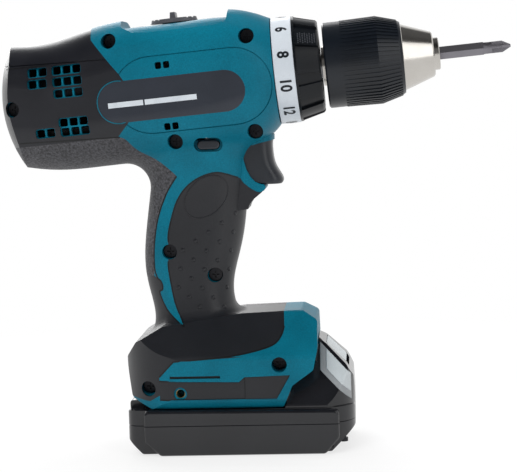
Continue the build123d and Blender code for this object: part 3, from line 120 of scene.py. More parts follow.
# matt white paper, which looks whiter away from the drill and keeps the shadow under it
paper = bpy.data.materials.new("white_paper")
paper.use_nodes = True
page = paper.node_tree
sheet = page.nodes["Principled BSDF"]
sheet.inputs["Base Color"].default_value = tone("#f4f4f4")
sheet.inputs["Roughness"].default_value = 0.9
glow = put(page, "Emission", None, {"Color": tone("#ffffff"), "Strength": 1.0})
ray = put(page, "LightPath").outputs
seen = put(page, "Math", larger, {0: ray["Is Camera Ray"], 1: ray["Is Transmission Ray"]})
seen = put(page, "Math", larger, {0: seen.outputs[0], 1: ray["Is Glossy Ray"]})
reach = put(page, "VectorMath", {"operation": "LENGTH"}, {0: put(page, "TexCoord").outputs["Object"]})
reach = reach.outputs["Value"]
whiter = put(page, "MapRange", None,
             {"Value": reach, "From Min": 0.12, "From Max": 0.45, "To Min": 0.74, "To Max": 1.0})
share = put(page, "Math", times, {0: seen.outputs[0], 1: whiter.outputs[0]})
blend = put(page, "MixShader", None, {0: share.outputs[0], 1: sheet.outputs[0], 2: glow.outputs[0]})
page.links.new(blend.outputs[0], page.nodes["Material Output"].inputs["Surface"])
half, under = 4.0, -0.0003
floor_mesh = bpy.data.meshes.new("floor")
floor_corners = [(-half, -half, under), (half, -half, under), (half, half, under), (-half, half, under)]
floor_mesh.from_pydata(floor_corners, [], [(0, 1, 2, 3)])
floor_mesh.materials.append(paper)
floor = bpy.data.objects.new("floor", floor_mesh)
bpy.context.scene.collection.objects.link(floor)

# each soft box: name, place, width, height, power in watts and whether it shows in reflections
soft_boxes = [
    ("key", (-0.55, -1.10, 1.15), 0.9, 0.9, 13.0, False),
    ("window", (1.05, -1.15, 0.80), 0.7, 1.6, 7.2, True),
    ("top", (0.05, 0.35, 1.35), 1.2, 0.7, 13.5, False),
    ("behind", (-0.5, 1.1, 0.7), 0.9, 0.9, 9.0, True),
]
for name, place, width, height, power, shows in soft_boxes:
    lamp = bpy.data.lights.new(name, "AREA")
    lamp.shape = "RECTANGLE"
    lamp.size, lamp.size_y, lamp.energy = width, height, power
    box = bpy.data.objects.new(name, lamp)
    box.location = place
    box.visible_glossy = shows
    box.rotation_euler = (target - Vector(place)).to_track_quat("-Z", "Y").to_euler()
    bpy.context.scene.collection.objects.link(box)
bpy.context.scene.view_settings.view_transform = "Standard"


# ---------------------------------------------------------------- housing halves
# Two clamshell halves moulded in blue-green glass-filled nylon and screwed together.
# Spark-eroded moulds give them an even fine grain with a soft satin gloss.
def moulded(name, colour, dark, roughness, grain, depth,
            ior=1.53, patches=22.0, shine=0.5, mottle=0.08):
    """Moulded plastic or rubber: cloudy colour, uneven gloss and the grain of its mould.

    The grain's width and depth and the width of the clouds are in mm. A real spark-eroded grain
    is about 0.05 mm wide, too fine to show, so every grain is drawn as coarse as it needs to show.
    """
    material = bpy.data.materials.new(name)
    material.use_nodes = True
    tree = material.node_tree
    shader = tree.nodes["Principled BSDF"]
    place = put(tree, "TexCoord").outputs["Object"]
    unevenness = 0.05
    cloud = put(tree, "TexNoise", None, {"Vector": place, "Scale": 1 / (patches * mm), "Detail": 3.0})
    speck = put(tree, "TexNoise", None,
                {"Vector": place, "Scale": 1 / (grain * mm), "Detail": 2.0, "Roughness": 0.6})
    tint = put(tree, "MapRange", None,
               {"Value": cloud.outputs[0], "From Min": 0.35, "From Max": 0.65})
    shade = put(tree, "Mix", {"data_type": "RGBA"},
                {0: tint.outputs[0], 6: tone(dark), 7: tone(colour)})
    fleck = put(tree, "MapRange", None,
                {"Value": speck.outputs[0], "From Min": 0.3, "From Max": 0.7,
                 "To Min": 1 - mottle, "To Max": 1 + mottle})
    fine = put(tree, "VectorMath", {"operation": "SCALE"},
               {0: shade.outputs[2], "Scale": fleck.outputs[0]})
    gloss = put(tree, "MapRange", None,
                {"Value": cloud.outputs[0],
                 "To Min": roughness - unevenness, "To Max": roughness + unevenness})
    bump = put(tree, "Bump", None,
               {"Height": speck.outputs[0], "Strength": 0.8, "Distance": depth * mm})
    tree.links.new(fine.outputs[0], shader.inputs["Base Color"])
    tree.links.new(gloss.outputs[0], shader.inputs["Roughness"])
    tree.links.new(bump.outputs[0], shader.inputs["Normal"])
    shader.inputs["IOR"].default_value = ior
    shader.inputs["Specular IOR Level"].default_value = shine
    return material


def finish(material, *nodes):
    """Gives CAD nodes one material."""
    for node in nodes:
        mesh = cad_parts[node].data
        mesh.materials.clear()
        mesh.materials.append(material)


# the grain scatters the light, so the blue-green stays even and deep and hardly shines
teal_nylon = moulded("teal_nylon_spark_eroded", "#04677d", "#035e73", 0.42, 0.7, 0.08,
                     shine=0.12, mottle=0.14)
finish(teal_nylon, "right_housing", "left_housing")


def new_piece(name, shape, material, body, smooth=True):
    """Makes a drawn shape a piece that rides on a body."""
    mesh = bpy.data.meshes.new(name)
    shape.to_mesh(mesh)
    shape.free()
    mesh.materials.append(material)
    for face in mesh.polygons:
        face.use_smooth = smooth
    piece = bpy.data.objects.new(name, mesh)
    bpy.context.scene.collection.objects.link(piece)
    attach(piece, body)
    return piece


def drop_on(nodes, place, direction):
    """First point and outward normal where a line from a place in a direction meets one of the nodes."""
    hits = []
    for node in nodes:
        found, spot, normal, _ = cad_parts[node].ray_cast(place, direction)
        if found:
            hits.append(((spot - place).length, spot, normal))
    return min(hits, key=lambda hit: hit[0])[1:]


def laid_on(name, flat, nodes, direction, lift, material, body):
    """Piece made by dropping the corners of a flat shape on to CAD nodes. The lift is in mm."""
    inside_flank = 0.005 * mm
    for vert in flat.verts:
        spot, normal = drop_on(nodes, vert.co, direction)
        vert.co = spot + normal * lift * mm
        # nothing stands out past the widest flank
        vert.co.y = max(cad_low[1] + inside_flank, min(cad_high[1] - inside_flank, vert.co.y))
    return new_piece(name, flat, material, body, smooth=False)


def weave(shape, rows, closed=False):
    """Joins neighbouring rows of corners with four-sided faces."""
    for low, high in zip(rows, rows[1:]):
        if closed:
            low, high = [*low, low[0]], [*high, high[0]]
        for i in range(len(low) - 1):
            shape.faces.new((low[i], low[i + 1], high[i + 1], high[i]))


def grid_patch(corner, side, up, across, rows):
    """Flat shape of a rectangle cut into cells, from one corner along two edges."""
    patch = bmesh.new()
    weave(patch, [
        [patch.verts.new(corner + side * (i / across) + up * (k / rows)) for i in range(across + 1)]
        for k in range(rows + 1)
    ])
    return patch


# An index bar is moulded into the top at the nose, as the mark that the ring's numbers are read by.
# Its dark tone is painted shade: the housing's own nylon, coloured as it looks in the shade of a shallow
# mark.
painted_shade_teal = moulded("teal_nylon_shadowed", "#04424f", "#033a46", 0.5, 0.5, 0.03)
# marks are drawn flat at a height over the drill, dropped on to the top and lifted a hair off it
down, over_top, mark_lift = Vector((0, 0, -1)), 240, 0.06
bar_length, bar_width = 4.0, 3.2
bar_patch = grid_patch(Vector((9.5, -bar_width / 2, over_top)) * mm, Vector((bar_length, 0, 0)) * mm,
                       Vector((0, bar_width, 0)) * mm, 6, 4)
index_bar = laid_on("index_bar", bar_patch, ["right_housing", "left_housing"], down, mark_lift,
                    painted_shade_teal, "housing")


def written(text, height):
    """Drawn shape of a number, in mm, centred on the origin."""
    words = bpy.data.curves.new("number", "FONT")
    words.body = text
    # a figure is a little lower than the letter size, and a small offset makes it bold
    words.size = height * 1.38
    words.offset = 0.24
    words.align_x, words.align_y = "CENTER", "CENTER"
    words.space_character = 1.02
    holder = bpy.data.objects.new("number", words)
    bpy.context.scene.collection.objects.link(holder)
    bpy.context.view_layer.update()
    ready = holder.evaluated_get(bpy.context.evaluated_depsgraph_get())
    flat = bpy.data.meshes.new_from_object(ready)
    bpy.data.objects.remove(holder)
    bpy.data.curves.remove(words)
    glyph = bmesh.new()
    glyph.from_mesh(flat)
    bpy.data.meshes.remove(flat)
    return glyph


# The gear numbers are moulded into the top at each end of the selector's slot, in the same painted shade
# as the index bar.
gear_height, gear_y = 4.6, -8.0
for numeral, x in (("2", -47.0), ("1", -9.8)):
    glyph = written(numeral, gear_height)
    for vert in glyph.verts:
        vert.co = Vector((x + vert.co.x, gear_y + vert.co.y, over_top)) * mm
    laid_on("gear_number_" + numeral, glyph, ["right_housing"], down, mark_lift,
                    painted_shade_teal, "housing")

# A thin lip hangs round the trigger's mouth and closes the gap over the trigger.
mouth_curve = [
    (7.0, 10.75), (11.0, 10.75), (13.0, 10.6), (14.0, 10.3), (15.0, 9.6),
    (16.0, 8.4), (16.7, 6.9), (17.2, 5.2), (17.5, 3.0), (17.6, 0.0),
]
mouth_curve += [(x, -y) for x, y in reversed(mouth_curve[:-1])]
# its foot rises to the front with the mouth, and its head steps down under the ceiling's front
foot_x, foot_z, foot_rise = 9.0, 152.85, 0.2425
head_step_x, head_z, front_head_z = 15.5, 158.4, 157.6
lip_thickness, round_end_x = 0.6, 13.0
mouth = bmesh.new()
loops = []
for x, y in mouth_curve:
    foot = foot_z + (x - foot_x) * foot_rise
    head = head_z if x < head_step_x else front_head_z
    out = Vector((max(x - round_end_x, 0), y)).normalized() * lip_thickness
    loops.append([mouth.verts.new(Vector(spot) * mm) for spot in (
        (x, y, foot), (x, y, head), (x + out.x, y + out.y, head), (x + out.x, y + out.y, foot),
    )])
weave(mouth, loops, closed=True)
mouth.faces.new(reversed(loops[0]))
mouth.faces.new(loops[-1])
bmesh.ops.recalc_face_normals(mouth, faces=mouth.faces)
new_piece("mouth_lip", mouth, teal_nylon, "housing", smooth=False)

# ---------------------------------------------------------------- motor covers
# Black nylon shells moulded for the motor end, one on each half, with slots for the motor's air.
# They have the same fine grain as the halves, with a little more gloss.
cover_nylon = moulded("black_nylon_spark_eroded", "#1d1e23", "#18191e", 0.32, 0.5, 0.04, shine=0.35)
finish(cover_nylon, "right_motor_cover", "left_motor_cover")

# A near-black strip marks where each cover meets the belly, and runs on to the halves.
# It is painted shade: a flat strip laid on the surface for the shade at the bottom of a fine groove.
groove_shade_paint = moulded("black_nylon_shadowed", "#08090b", "#060709", 0.7, 0.5, 0.01)
flanks = ((-1, "right"), (1, "left"))
# flank pieces are drawn flat beside the drill, dropped on to the flank and lifted a hair off it
beside, groove_lift, groove_cells = 60, 0.05, 40
for side, name in flanks:
    start, end = Vector((-107.0, side * beside, 156.5)), Vector((-56.5, side * beside, 158.5))
    groove = grid_patch(start * mm, (end - start) * mm, Vector((0, 0, 0.55)) * mm, groove_cells, 1)
    under_it = [name + "_motor_cover", name + "_housing", "back_grip"]
    laid_on(name + "_cover_groove_shade", groove, under_it, Vector((0, -side, 0)), groove_lift,
                    groove_shade_paint, "housing")

# The barrel's axis rises towards the nose, and its parts are placed along it.
tilt = math.radians(4.6)
forward = Vector((math.cos(tilt), 0, math.sin(tilt)))
lifted = Vector((-math.sin(tilt), 0, math.cos(tilt)))
barrel_foot = Vector((0, 0, 187.5 * mm))


def barrel_place(u, v, w):
    """Point at u along the barrel axis, v up across it and w towards the left side, in mm."""
    return barrel_foot + (forward * u + lifted * v + Vector((0, 1, 0)) * w) * mm


# A second strip of painted groove shade runs along each cover's shoulder, over the vents.
for side, name in flanks:
    start = barrel_place(-112.5, 14.8, side * beside)
    end = barrel_place(-66.0, 14.8, side * beside)
    groove = grid_patch(start, end - start, Vector((0, 0, 0.5)) * mm, groove_cells, 1)
    under_it = [name + "_motor_cover", name + "_housing"]
    laid_on(name + "_shoulder_groove_shade", groove, under_it, Vector((0, -side, 0)), groove_lift,
                    groove_shade_paint, "housing")


def wall(name, outline, first_y, last_y, material, body):
    """Upright wall with an outline in (x, z) and two flat faces at the given y, in mm."""
    shape = bmesh.new()
    sheets = [[shape.verts.new(Vector((x, y, z)) * mm) for x, z in outline] for y in (first_y, last_y)]
    shape.faces.new(sheets[0])
    shape.faces.new(reversed(sheets[1]))
    for i in range(len(outline)):
        k = (i + 1) % len(outline)
        shape.faces.new((sheets[0][k], sheets[0][i], sheets[1][i], sheets[1][k]))
    bmesh.ops.recalc_face_normals(shape, faces=shape.faces)
    return new_piece(name, shape, material, body, smooth=False)


# Two moulded walls under the motor guide its air, and close the view through the lower vents.
guide_near_y, guide_far_y = 7.4, 8.6
for side, name in flanks:
    for number, start_x, end_x, low_z, high_z in (
        (1, -106, -60, 149.4, 161.4), (2, -45.5, -31, 156.0, 163.2),
    ):
        rise = (end_x - start_x) * math.tan(tilt)
        corners = [(start_x, low_z), (end_x, low_z), (end_x, high_z + rise), (start_x, high_z)]
        guide = wall("%s_air_guide_%d" % (name, number), corners, side * guide_near_y,
                     side * guide_far_y, cover_nylon, "housing")

# ---------------------------------------------------------------- back grip
# Thermoplastic rubber moulded over the tail and the back of the handle, to cushion the palm.
# Its mould is etched with a coarse pebble, so it looks greyer than the smooth rubber. Its strong grey
# mottle follows the pebble's bumps: painted light on their tops and painted shade in the gaps.
pebbled_rubber = moulded("black_elastomer_pebbled", "#3d3d41", "#353539", 0.6, 1.1, 0.5, 1.52,
                         mottle=0.75)
finish(pebbled_rubber, "back_grip")

# ---------------------------------------------------------------- side grips
# Thermoplastic rubber moulded over both flanks of the handle and round the foot.
# Its mould is polished, so it is nearly black with a broad soft sheen.
smooth_rubber = moulded("black_elastomer_smooth", "#1f2024", "#1b1c20", 0.44, 0.8, 0.03, 1.52,
                        shine=0.4)
finish(smooth_rubber, "right_grip", "left_grip")


# Rows of small domes and one oval line stand up from each flank, to hold the palm.
def dome(shape, spot, normal, radius, height, sides=14, rings=4):
    """Adds a shallow dome on a surface, its rim just under it. Sizes in mm."""
    sunk = 0.12
    side = normal.orthogonal().normalized()
    other = normal.cross(side)
    rows = []
    for k in range(rings):
        lean = math.pi / 2 * k / rings
        out, lift = radius * math.cos(lean), height * math.sin(lean) - (sunk if k == 0 else 0)
        turns = [2 * math.pi * i / sides for i in range(sides)]
        rows.append([
            shape.verts.new(spot + (side * math.cos(turn) * out + other * math.sin(turn) * out
                                    + normal * lift) * mm)
            for turn in turns
        ])
    top = shape.verts.new(spot + normal * height * mm)
    weave(shape, rows, closed=True)
    for i in range(sides):
        shape.faces.new((rows[-1][i], rows[-1][(i + 1) % sides], top))


first_dome = Vector((-8.6, 114.2))
dome_step_back, dome_step_front = Vector((-6.7, -4.4)), Vector((5.3, -5.0))
dome_radius, dome_height = 1.15, 0.5
# a screw takes one dome's place, and the last corner of the field stays empty
left_out = ((3, 3), (5, 5))
for side, name in flanks:
    domes = bmesh.new()
    for i in range(-1, 6):
        for k in range(6):
            if -2 <= i - k <= 3 and (i, k) not in left_out:
                x, z = first_dome + dome_step_back * i + dome_step_front * k
                start = Vector((x, side * beside, z)) * mm
                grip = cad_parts[name + "_grip"]
                found, spot, normal, _ = grip.ray_cast(start, Vector((0, -side, 0)))
                # a place past the rubber's edge gets no dome
                if found:
                    dome(domes, spot, normal, dome_radius, dome_height)
    new_piece(name + "_grip_domes", domes, smooth_rubber, "housing")


def bead(name, points, thickness, material, body, closed):
    """Thin round line through points in metres, its thickness in mm."""
    line = bpy.data.curves.new(name, "CURVE")
    line.dimensions = "3D"
    line.bevel_depth = thickness * mm / 2
    line.bevel_resolution = 2
    run = line.splines.new("POLY")
    run.points.add(len(points) - 1)
    for point, place in zip(run.points, points):
        point.co = (*place, 1)
    run.use_cyclic_u = closed
    line.materials.append(material)
    piece = bpy.data.objects.new(name, line)
    bpy.context.scene.collection.objects.link(piece)
    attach(piece, body)
    return piece


oval_centre, oval_lean = Vector((-16.0, 127.6)), math.radians(42)
oval_long, oval_short, oval_points, oval_thickness = 12.6, 8.8, 48, 0.55
for side, name in flanks:
    ring = []
    for k in range(oval_points):
        around = 2 * math.pi * k / oval_points
        a, b = oval_long * math.cos(around), oval_short * math.sin(around)
        x = oval_centre.x + a * math.cos(oval_lean) - b * math.sin(oval_lean)
        z = oval_centre.y + a * math.sin(oval_lean) + b * math.cos(oval_lean)
        start = Vector((x, side * beside, z)) * mm
        ring.append(drop_on([name + "_grip"], start, Vector((0, -side, 0)))[0])
    bead(name + "_grip_oval", ring, oval_thickness, smooth_rubber, "housing", True)


# Near-black strips of painted shade mark the seams that part the rubber from the nylon along the stripe,
# the foot's waist line and the band, and fill the foot's slit.
def smoothed(points, pieces=8):
    """Closely spaced points of a smooth line through the given ones."""
    ends = [Vector(point) for point in (points[0], *points, points[-1])]
    run = []
    for before, here, there, after in zip(ends, ends[1:], ends[2:], ends[3:]):
        for k in range(pieces):
            t = k / pieces
            run.append((here * 2 + (there - before) * t
                        + (before * 2 - here * 5 + there * 4 - after) * t ** 2
                        + (here * 3 - before - there * 3 + after) * t ** 3) / 2)
    return [*run, ends[-1]]


def ribbon_along(corners, side, width):
    """Flat strip beside one flank that follows (x, z) points in mm, cut at every millimetre."""
    points = []
    for start, end in zip(corners, corners[1:]):
        start, end = Vector(start), Vector(end)
        steps = max(1, math.ceil((end - start).length))
        points += [start.lerp(end, k / steps) for k in range(steps)]
    points.append(Vector(corners[-1]))
    ribbon = bmesh.new()
    rows = []
    for i, point in enumerate(points):
        ahead = points[min(i + 1, len(points) - 1)] - points[max(i - 1, 0)]
        ahead = ahead.normalized() * width / 2
        edges = (point.x - ahead.y, point.y + ahead.x), (point.x + ahead.y, point.y - ahead.x)
        rows.append([ribbon.verts.new(Vector((x, side * beside, z)) * mm) for x, z in edges])
    weave(ribbon, rows)
    return ribbon


# the stripe's front seam is broken by a screw's recess
stripe_low = [(-28.5, 63.0), (-33.2, 74.0), (-36.0, 90.0), (-36.2, 95.4)]
stripe_high = [
    (-35.9, 105.0), (-35.2, 112.0), (-30.4, 126.4), (-22.4, 135.4), (-10.8, 139.6), (0.0, 136.6),
]
stripe_back = [
    (-28.5, 63.0), (-33.0, 65.9), (-38.0, 71.4), (-41.3, 79.4),
    (-39.8, 81.0), (-39.6, 83.2), (-40.6, 85.6), (-42.0, 86.6),
]
handle_back = [
    (-42.0, 86.6), (-43.5, 91.6), (-43.3, 103.4), (-40.9, 117.0), (-36.0, 129.5), (-30.4, 138.2),
]
waist = [(21.6, 62.4), (18.5, 56.0), (11.0, 52.6), (-6.6, 49.4), (-33.2, 47.4)]
band_edge = [(-40.6, 37.6), (-1.0, 36.8), (1.8, 39.2), (24.4, 39.8), (17.6, 28.2), (-40.6, 28.2)]
# each seam: name, points and width
seams = (
    ("stripe_low_seam", smoothed(stripe_low), 0.7),
    ("stripe_high_seam", smoothed(stripe_high), 0.7),
    ("stripe_back_seam", smoothed(stripe_back), 0.7),
    ("handle_seam", smoothed(handle_back), 0.7),
    ("waist_seam", [*smoothed(waist), (-40.6, 39.6)], 0.7),
    ("band_seam", band_edge, 0.7),
    ("band_step_seam", [(2.0, 38.6), (2.0, 28.8)], 0.5),
    ("foot_slit", [(-35.2, 39.4), (-10.4, 39.4)], 1.1),
)
for side, name in flanks:
    under_it = [name + "_housing", name + "_grip", "back_grip"]
    for part, corners, width in seams:
        laid_on(name + "_" + part, ribbon_along(corners, side, width), under_it,
                        Vector((0, -side, 0)), groove_lift, groove_shade_paint, "housing")

# A rubber lip runs under the trigger along the lower edge of the collar.
lip_outline = [
    (-4, 137), (-1.5, 137.5), (0.8, 136.2), (2.3, 133.9), (5.5, 131.1), (8.7, 129.2), (11.3, 128.5),
    (9.8, 127.3), (7.8, 125.7), (6.1, 123.9), (5.0, 122.2), (4.4, 120.4), (-4, 119.4),
]
lip_half_width = 12.25
wall("collar_lip", lip_outline, -lip_half_width, lip_half_width, smooth_rubber, "housing")

# ---------------------------------------------------------------- label plate
# A panel of printed polyester film set flush in the right side and left bare of words.
# The smooth film has an even, soft gloss over a blue-black print.
label_film = moulded("polyester_film_printed", "#2a2e37", "#262a32", 0.3, 0.4, 0.008, 1.57,
                     shine=0.3)
finish(label_film, "label_plate")

# A blue-green bead frames its round rear end, where the black cover comes up to it.
round_end_u, round_end_v, round_end_radius, rim_thickness = -57.2, -7.0, 10.45, 0.5
rim_points = []
for degree in range(66, 295, 6):
    u = round_end_u + round_end_radius * math.cos(math.radians(degree))
    v = round_end_v + round_end_radius * math.sin(math.radians(degree))
    start = barrel_place(u, v, -beside)
    rim_points.append(drop_on(["right_motor_cover", "right_housing"], start, Vector((0, 1, 0)))[0])
bead("label_rim", rim_points, rim_thickness, teal_nylon, "housing", False)

# A bare pale strip is printed where a batch stamp would go.
# The ink is a thin even layer, so it hardly has a grain of its own.
strip_ink = moulded("pale_grey_print", "#c9d0d6", "#bfc6cd", 0.35, 0.3, 0.004, 1.5, 8.0)
strip_low, strip_high, print_lift = -9.6, -7.0, 0.03
for number, start_u, end_u in ((1, -62.4, -45.0), (2, -44.2, -18.5)):
    corner = barrel_place(start_u, strip_low, -beside)
    strip = grid_patch(corner, barrel_place(end_u, strip_low, -beside) - corner,
                       barrel_place(start_u, strip_high, -beside) - corner, 12, 3)
    laid_on("label_strip_%d" % number, strip, ["label_plate"], Vector((0, 1, 0)), print_lift,
                    strip_ink, "housing")

# ---------------------------------------------------------------- screws and inserts
# Thread-forming screws of blackened steel hold the halves and the battery's case together.
# Turned brass inserts in the foot take the belt hook's screw.
def machined(name, colour, dark, roughness, lines, depth, streak=0.04):
    """Worked metal with a cloudy tone and fine lines left by the tool, drawn out across the barrel.

    The lines' width and depth are in mm. Real tool lines are about 0.05 mm apart, too fine to show,
    so they are drawn as coarse as they need to show. A metal keeps the default IOR.
    """
    cloud_width, drawn_out = 9, (1.0, 0.06, 0.06)
    material = bpy.data.materials.new(name)
    material.use_nodes = True
    tree = material.node_tree
    shader = tree.nodes["Principled BSDF"]
    place = put(tree, "TexCoord").outputs["Object"]
    along = put(tree, "Mapping", None, {"Vector": place, "Scale": drawn_out})
    line = put(tree, "TexNoise", None,
               {"Vector": along.outputs[0], "Scale": 1 / (lines * mm), "Detail": 2.0})
    cloud = put(tree, "TexNoise", None,
                {"Vector": place, "Scale": 1 / (cloud_width * mm), "Detail": 3.0})
    shade = put(tree, "Mix", {"data_type": "RGBA"},
                {0: cloud.outputs[0], 6: tone(dark), 7: tone(colour)})
    gloss = put(tree, "MapRange", None,
                {"Value": line.outputs[0], "To Min": roughness - streak, "To Max": roughness + streak})
    bump = put(tree, "Bump", None,
               {"Height": line.outputs[0], "Strength": 0.5, "Distance": depth * mm})
    tree.links.new(shade.outputs[2], shader.inputs["Base Color"])
    tree.links.new(gloss.outputs[0], shader.inputs["Roughness"])
    tree.links.new(bump.outputs[0], shader.inputs["Normal"])
    shader.inputs["Metallic"].default_value = 1.0
    return material


# black oxide leaves the steel dark with a low metal shine, and turned brass stays warm and bright
blackened_steel = machined("steel_blackened", "#3a3a3c", "#26262a", 0.4, 0.5, 0.01)
brass = machined("brass_turned", "#b89a5a", "#9a7d44", 0.3, 0.3, 0.01)
finish(blackened_steel, "housing_screws", "battery_screws")
finish(brass, "hook_inserts")

# ---------------------------------------------------------------- trigger, reverse lever and selector
# The trigger, the reverse lever above it and the switch behind them are moulded in black acetal.
# The speed selector slides in its slot on the top and is moulded in grey acetal.
# Acetal comes off a smooth mould with an even satin face, smoother than the housing.
satin_acetal = moulded("black_acetal_satin", "#20242a", "#1c1f25", 0.36, 0.35, 0.012, 1.48)
grey_acetal = moulded("grey_acetal_satin", "#56565b", "#4c4c51", 0.36, 0.35, 0.012, 1.48)
finish(satin_acetal, "trigger", "reverse_lever", "switch_body", "terminal_block")
finish(grey_acetal, "speed_selector")

# ---------------------------------------------------------------- work light
# A lens moulded in clear polycarbonate, pressed in under the nose over a light-emitting diode.
# Its face is a little uneven, so it is glossy with a faint haze and the diode looks soft behind it.
clear_lens = bpy.data.materials.new("polycarbonate_clear")
clear_lens.use_nodes = True
lens_tree = clear_lens.node_tree
lens_shader = lens_tree.nodes["Principled BSDF"]
lens_shader.inputs["Base Color"].default_value = tone("#eef3f6")
lens_shader.inputs["IOR"].default_value = 1.58
lens_shader.inputs["Transmission Weight"].default_value = 0.85
haze_width = 0.8
ripple = put(lens_tree, "TexNoise", None,
             {"Vector": put(lens_tree, "TexCoord").outputs["Object"], "Scale": 1 / (haze_width * mm)})
haze = put(lens_tree, "MapRange", None, {"Value": ripple.outputs[0], "To Min": 0.04, "To Max": 0.12})
lens_tree.links.new(haze.outputs[0], lens_shader.inputs["Roughness"])
finish(clear_lens, "led_lens")

# ---------------------------------------------------------------- torque ring
# Black nylon ring behind the chuck that sets the clutch, with a painted silver band round its rear.
# The ring turns in the hand and clicks from number to number, which run round the band.
ring_nylon = moulded("black_nylon_satin", "#0e1217", "#0b0e12", 0.3, 0.35, 0.015, shine=0.25)
# the paint hides the plastic's grain, so the band is a smooth light grey with a soft gloss
silver_band = moulded("silver_abs_painted", "#c6ccd3", "#bec5cc", 0.34, 0.25, 0.006, 1.5, 12.0)
finish(ring_nylon, "torque_ring")
finish(silver_band, "torque_scale")


def round_barrel(u, radius, angle):
    """Point on a circle about the barrel axis. Angle 0 faces the right side and 90 is the top."""
    turned = math.radians(angle)
    return barrel_place(u, radius * math.sin(turned), -radius * math.cos(turned))


# The band's numbers are printed in a flat dark grey ink and read down the right side.
print_ink = moulded("dark_grey_print", "#1b1f25", "#171b20", 0.4, 0.2, 0.004, 1.5, 6.0, 0.3)
band_radius, band_middle_u, ink_lift = 26.8, 25.0, 0.1
digit_height, digit_narrowing, strip_width = 5.6, 0.9, 0.5
# the 8 stands this many degrees up from the right side, and each unit takes as many
eight_angle, unit_angle = 16.2, 16.2
ring_of_numbers = bmesh.new()
for number in range(2, 17, 2):
    glyph = written(str(number), digit_height)
    # cut into narrow strips, so that the flat number can bend round the band
    for cut in range(-10, 11):
        bmesh.ops.bisect_plane(glyph, geom=[*glyph.verts, *glyph.edges, *glyph.faces], dist=1e-5,
                               plane_co=(cut * strip_width, 0, 0), plane_no=(1, 0, 0))
    centre = eight_angle - unit_angle * (number - 8)
    for vert in glyph.verts:
        angle = centre - math.degrees(vert.co.x * digit_narrowing / band_radius)
        vert.co = round_barrel(band_middle_u + vert.co.y, band_radius + ink_lift, angle)
    bent = bpy.data.meshes.new("number")
    glyph.to_mesh(bent)
    glyph.free()
    ring_of_numbers.from_mesh(bent)
    bpy.data.meshes.remove(bent)
new_piece("torque_numbers", ring_of_numbers, print_ink, "torque_selector", smooth=False)

# One lobe carries a patch of fine stipple, to find the ring's place by touch.
# Its domes are coloured a little greyer than the ring.
stipple_nylon = moulded("black_nylon_stippled", "#3a3d43", "#33363c", 0.45, 0.35, 0.015)
first_u, u_step, first_angle, angle_step = 33.2, 1.15, 29.6, 2.4
outside_ring, point_radius, point_height = 40.0, 0.42, 0.24
stipple = bmesh.new()
for row in range(8):
    for place in range(6):
        u = first_u + u_step * row
        # every other row is shifted by half a step
        start = round_barrel(u, outside_ring, first_angle + angle_step * (place + row % 2 / 2))
        inward = (round_barrel(u, 0.0, 0.0) - start).normalized()
        spot, normal = drop_on(["torque_ring"], start, inward)
        dome(stipple, spot, normal, point_radius, point_height, sides=8, rings=3)
new_piece("lobe_stipple", stipple, stipple_nylon, "torque_selector")

# ---------------------------------------------------------------- keyless chuck
# The sleeve is moulded in ribbed black nylon and is turned by hand to close the jaws.
# The body is turned steel with its nose polished and plated, and the three jaws are hardened steel.
sleeve_nylon = moulded("black_nylon_glass_filled", "#10161e", "#0c1118", 0.36, 0.4, 0.02, shine=0.4)
# nickel plate mirrors the room and keeps faint turned rings, and the jaws are duller and darker
plated_steel = machined("steel_nickel_plated", "#c9c6c1", "#b8b4ae", 0.2, 0.25, 0.004)
jaw_steel = machined("steel_hardened", "#8a8a8c", "#77777b", 0.3, 0.3, 0.006)
finish(sleeve_nylon, "chuck_sleeve")
finish(plated_steel, "chuck_body")
finish(jaw_steel, "jaw_1", "jaw_2", "jaw_3", "chuck_screw", "chuck_nut")

# ---------------------------------------------------------------- screwdriver bit
# Cross-point bit forged from hexagonal tool steel and held by the chuck's three jaws.
# Its phosphate finish is a dull mid grey with a wide, weak shine.
bit_steel = machined("tool_steel_phosphated", "#96949a", "#848288", 0.58, 0.35, 0.01)
finish(bit_steel, "bit")

# ---------------------------------------------------------------- battery
# A tub and a lid moulded in ABS and screwed together round the cells slide on to the foot.
# The mould is polished, so they are a glossy black. The flanks are left bare of words.
battery_abs = moulded("black_abs_polished", "#191a1e", "#141519", 0.16, 0.3, 0.006, 1.54,
                      shine=0.45)
finish(battery_abs, "battery_lower_case", "battery_upper_case")
# the release button is grey ABS off a satin mould, which spreads the light evenly
button_abs = moulded("grey_abs_satin", "#bfc6c9", "#b8bfc2", 0.34, 0.35, 0.012, 1.54)
finish(button_abs, "release_button")

# Two webs at the back of the nose, one each side of the button, close the gap behind it.
web_outline = [
    (36.31, 44), (36.75, 46), (37.19, 48), (37.63, 50), (37.98, 51.6),
    (38.9, 51.6), (38.7, 50), (39.2, 48), (39.7, 46), (41.6, 44),
]
web_near_y, web_far_y = 14.2, 16.2
for side, name in flanks:
    wall(name + "_nose_web", web_outline, side * web_near_y, side * web_far_y,
                 battery_abs, "battery")

# A grey panel with a darker rim stands on each cheek of the nose, beside the release button. The rim's
# mid grey is painted reflection: it stands for the nose's black ABS mirroring the white room.
rim_painted_reflection = moulded("black_abs_rim_painted_reflection", "#93979a", "#8b8f92", 0.3, 0.35, 0.012, 1.54)
# each part: name, back x, front x, top z and bottom z at its back, height and material
cheek_parts = (
    ("rim", 38.8, 54.2, 53.4, 40.2, 0.3, rim_painted_reflection),
    ("panel", 42.0, 53.6, 50.0, 40.6, 0.7, button_abs),
)
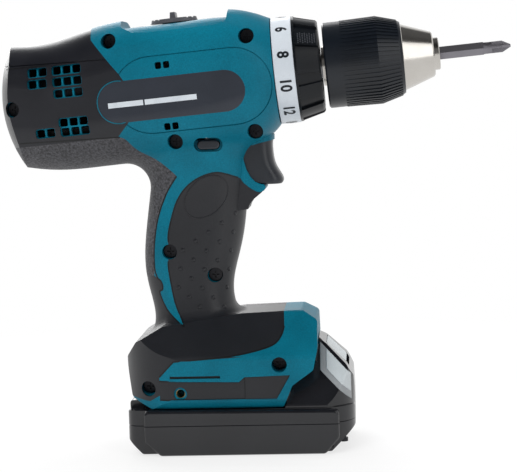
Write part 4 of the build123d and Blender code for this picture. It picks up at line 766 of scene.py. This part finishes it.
# the patch is cut close at its edge, where it dips just under the cheek
cheek_steps = (0, 0.015, *(0.04 * n for n in range(1, 25)), 0.985, 1)
edge_steps, edge_height = (0, 1), -0.1
for side, name in flanks:
    for part, back_x, front_x, top_z, bottom_z, panel_height, material in cheek_parts:
        patch = bmesh.new()
        rows = []
        for rise in cheek_steps:
            row = []
            for run in cheek_steps:
                x = back_x + (front_x - back_x) * run
                # the panel slopes down to the front as the nose does
                z = bottom_z + (top_z - bottom_z) * rise - (x - back_x)
                start = Vector((x, side * beside, z)) * mm
                spot, normal = drop_on(["battery_upper_case"], start, Vector((0, -side, 0)))
                height = edge_height if rise in edge_steps or run in edge_steps else panel_height
                row.append(patch.verts.new(spot + normal * height * mm))
            rows.append(row)
        weave(patch, rows)
        new_piece("%s_cheek_%s" % (name, part), patch, material, "battery")

# ---------------------------------------------------------------- inside
# Motor, planet gearbox, switch and cells, held inside the housing and out of sight.
# The can is dull zinc-plated steel, and gears, shafts and springs are ground or drawn bright steel.
dull_steel = machined("steel_zinc_dull", "#4c4c4f", "#3b3b3e", 0.5, 0.5, 0.01)
bright_steel = machined("steel_bright", "#a9aaac", "#939497", 0.28, 0.3, 0.006)
gears = ["planet_gear_%d_%d" % (stage, n) for stage in (1, 2, 3) for n in (1, 2, 3)]
finish(dull_steel, "motor_can")
finish(bright_steel, "armature", "pinion", "carrier_1", "carrier_2", "ring_gears", "spindle",
       "spindle_bearings", "clutch_spring", "thrust_washer", "trigger_spring", "release_spring", *gears)
# enamelled copper wire is a warm brown-red, and sintered ferrite is a dead dark grey
copper = machined("copper_enamelled", "#b5683a", "#96502b", 0.3, 0.4, 0.02)
ferrite = moulded("ferrite_sintered", "#2c2c2e", "#252527", 0.6, 0.5, 0.03, 1.6)
finish(copper, "windings", "commutator")
finish(ferrite, "motor_magnets", "motor_brushes")
# the holders and cases are moulded nylon, in black as the covers and in a plain grey
grey_nylon = moulded("grey_nylon_glass_filled", "#7d8286", "#74797d", 0.42, 0.5, 0.03)
finish(cover_nylon, "brush_holder", "motor_fan")
finish(grey_nylon, "gear_case")
# the cells are wrapped in a glossy blue film, and the board is lacquered green
cell_film = moulded("blue_shrink_film", "#17508a", "#134679", 0.3, 0.6, 0.01, 1.54)
board_lacquer = moulded("green_lacquer_board", "#14522c", "#114626", 0.3, 0.7, 0.01, 1.55)
finish(cell_film, "battery_cells")
finish(board_lacquer, "battery_board")
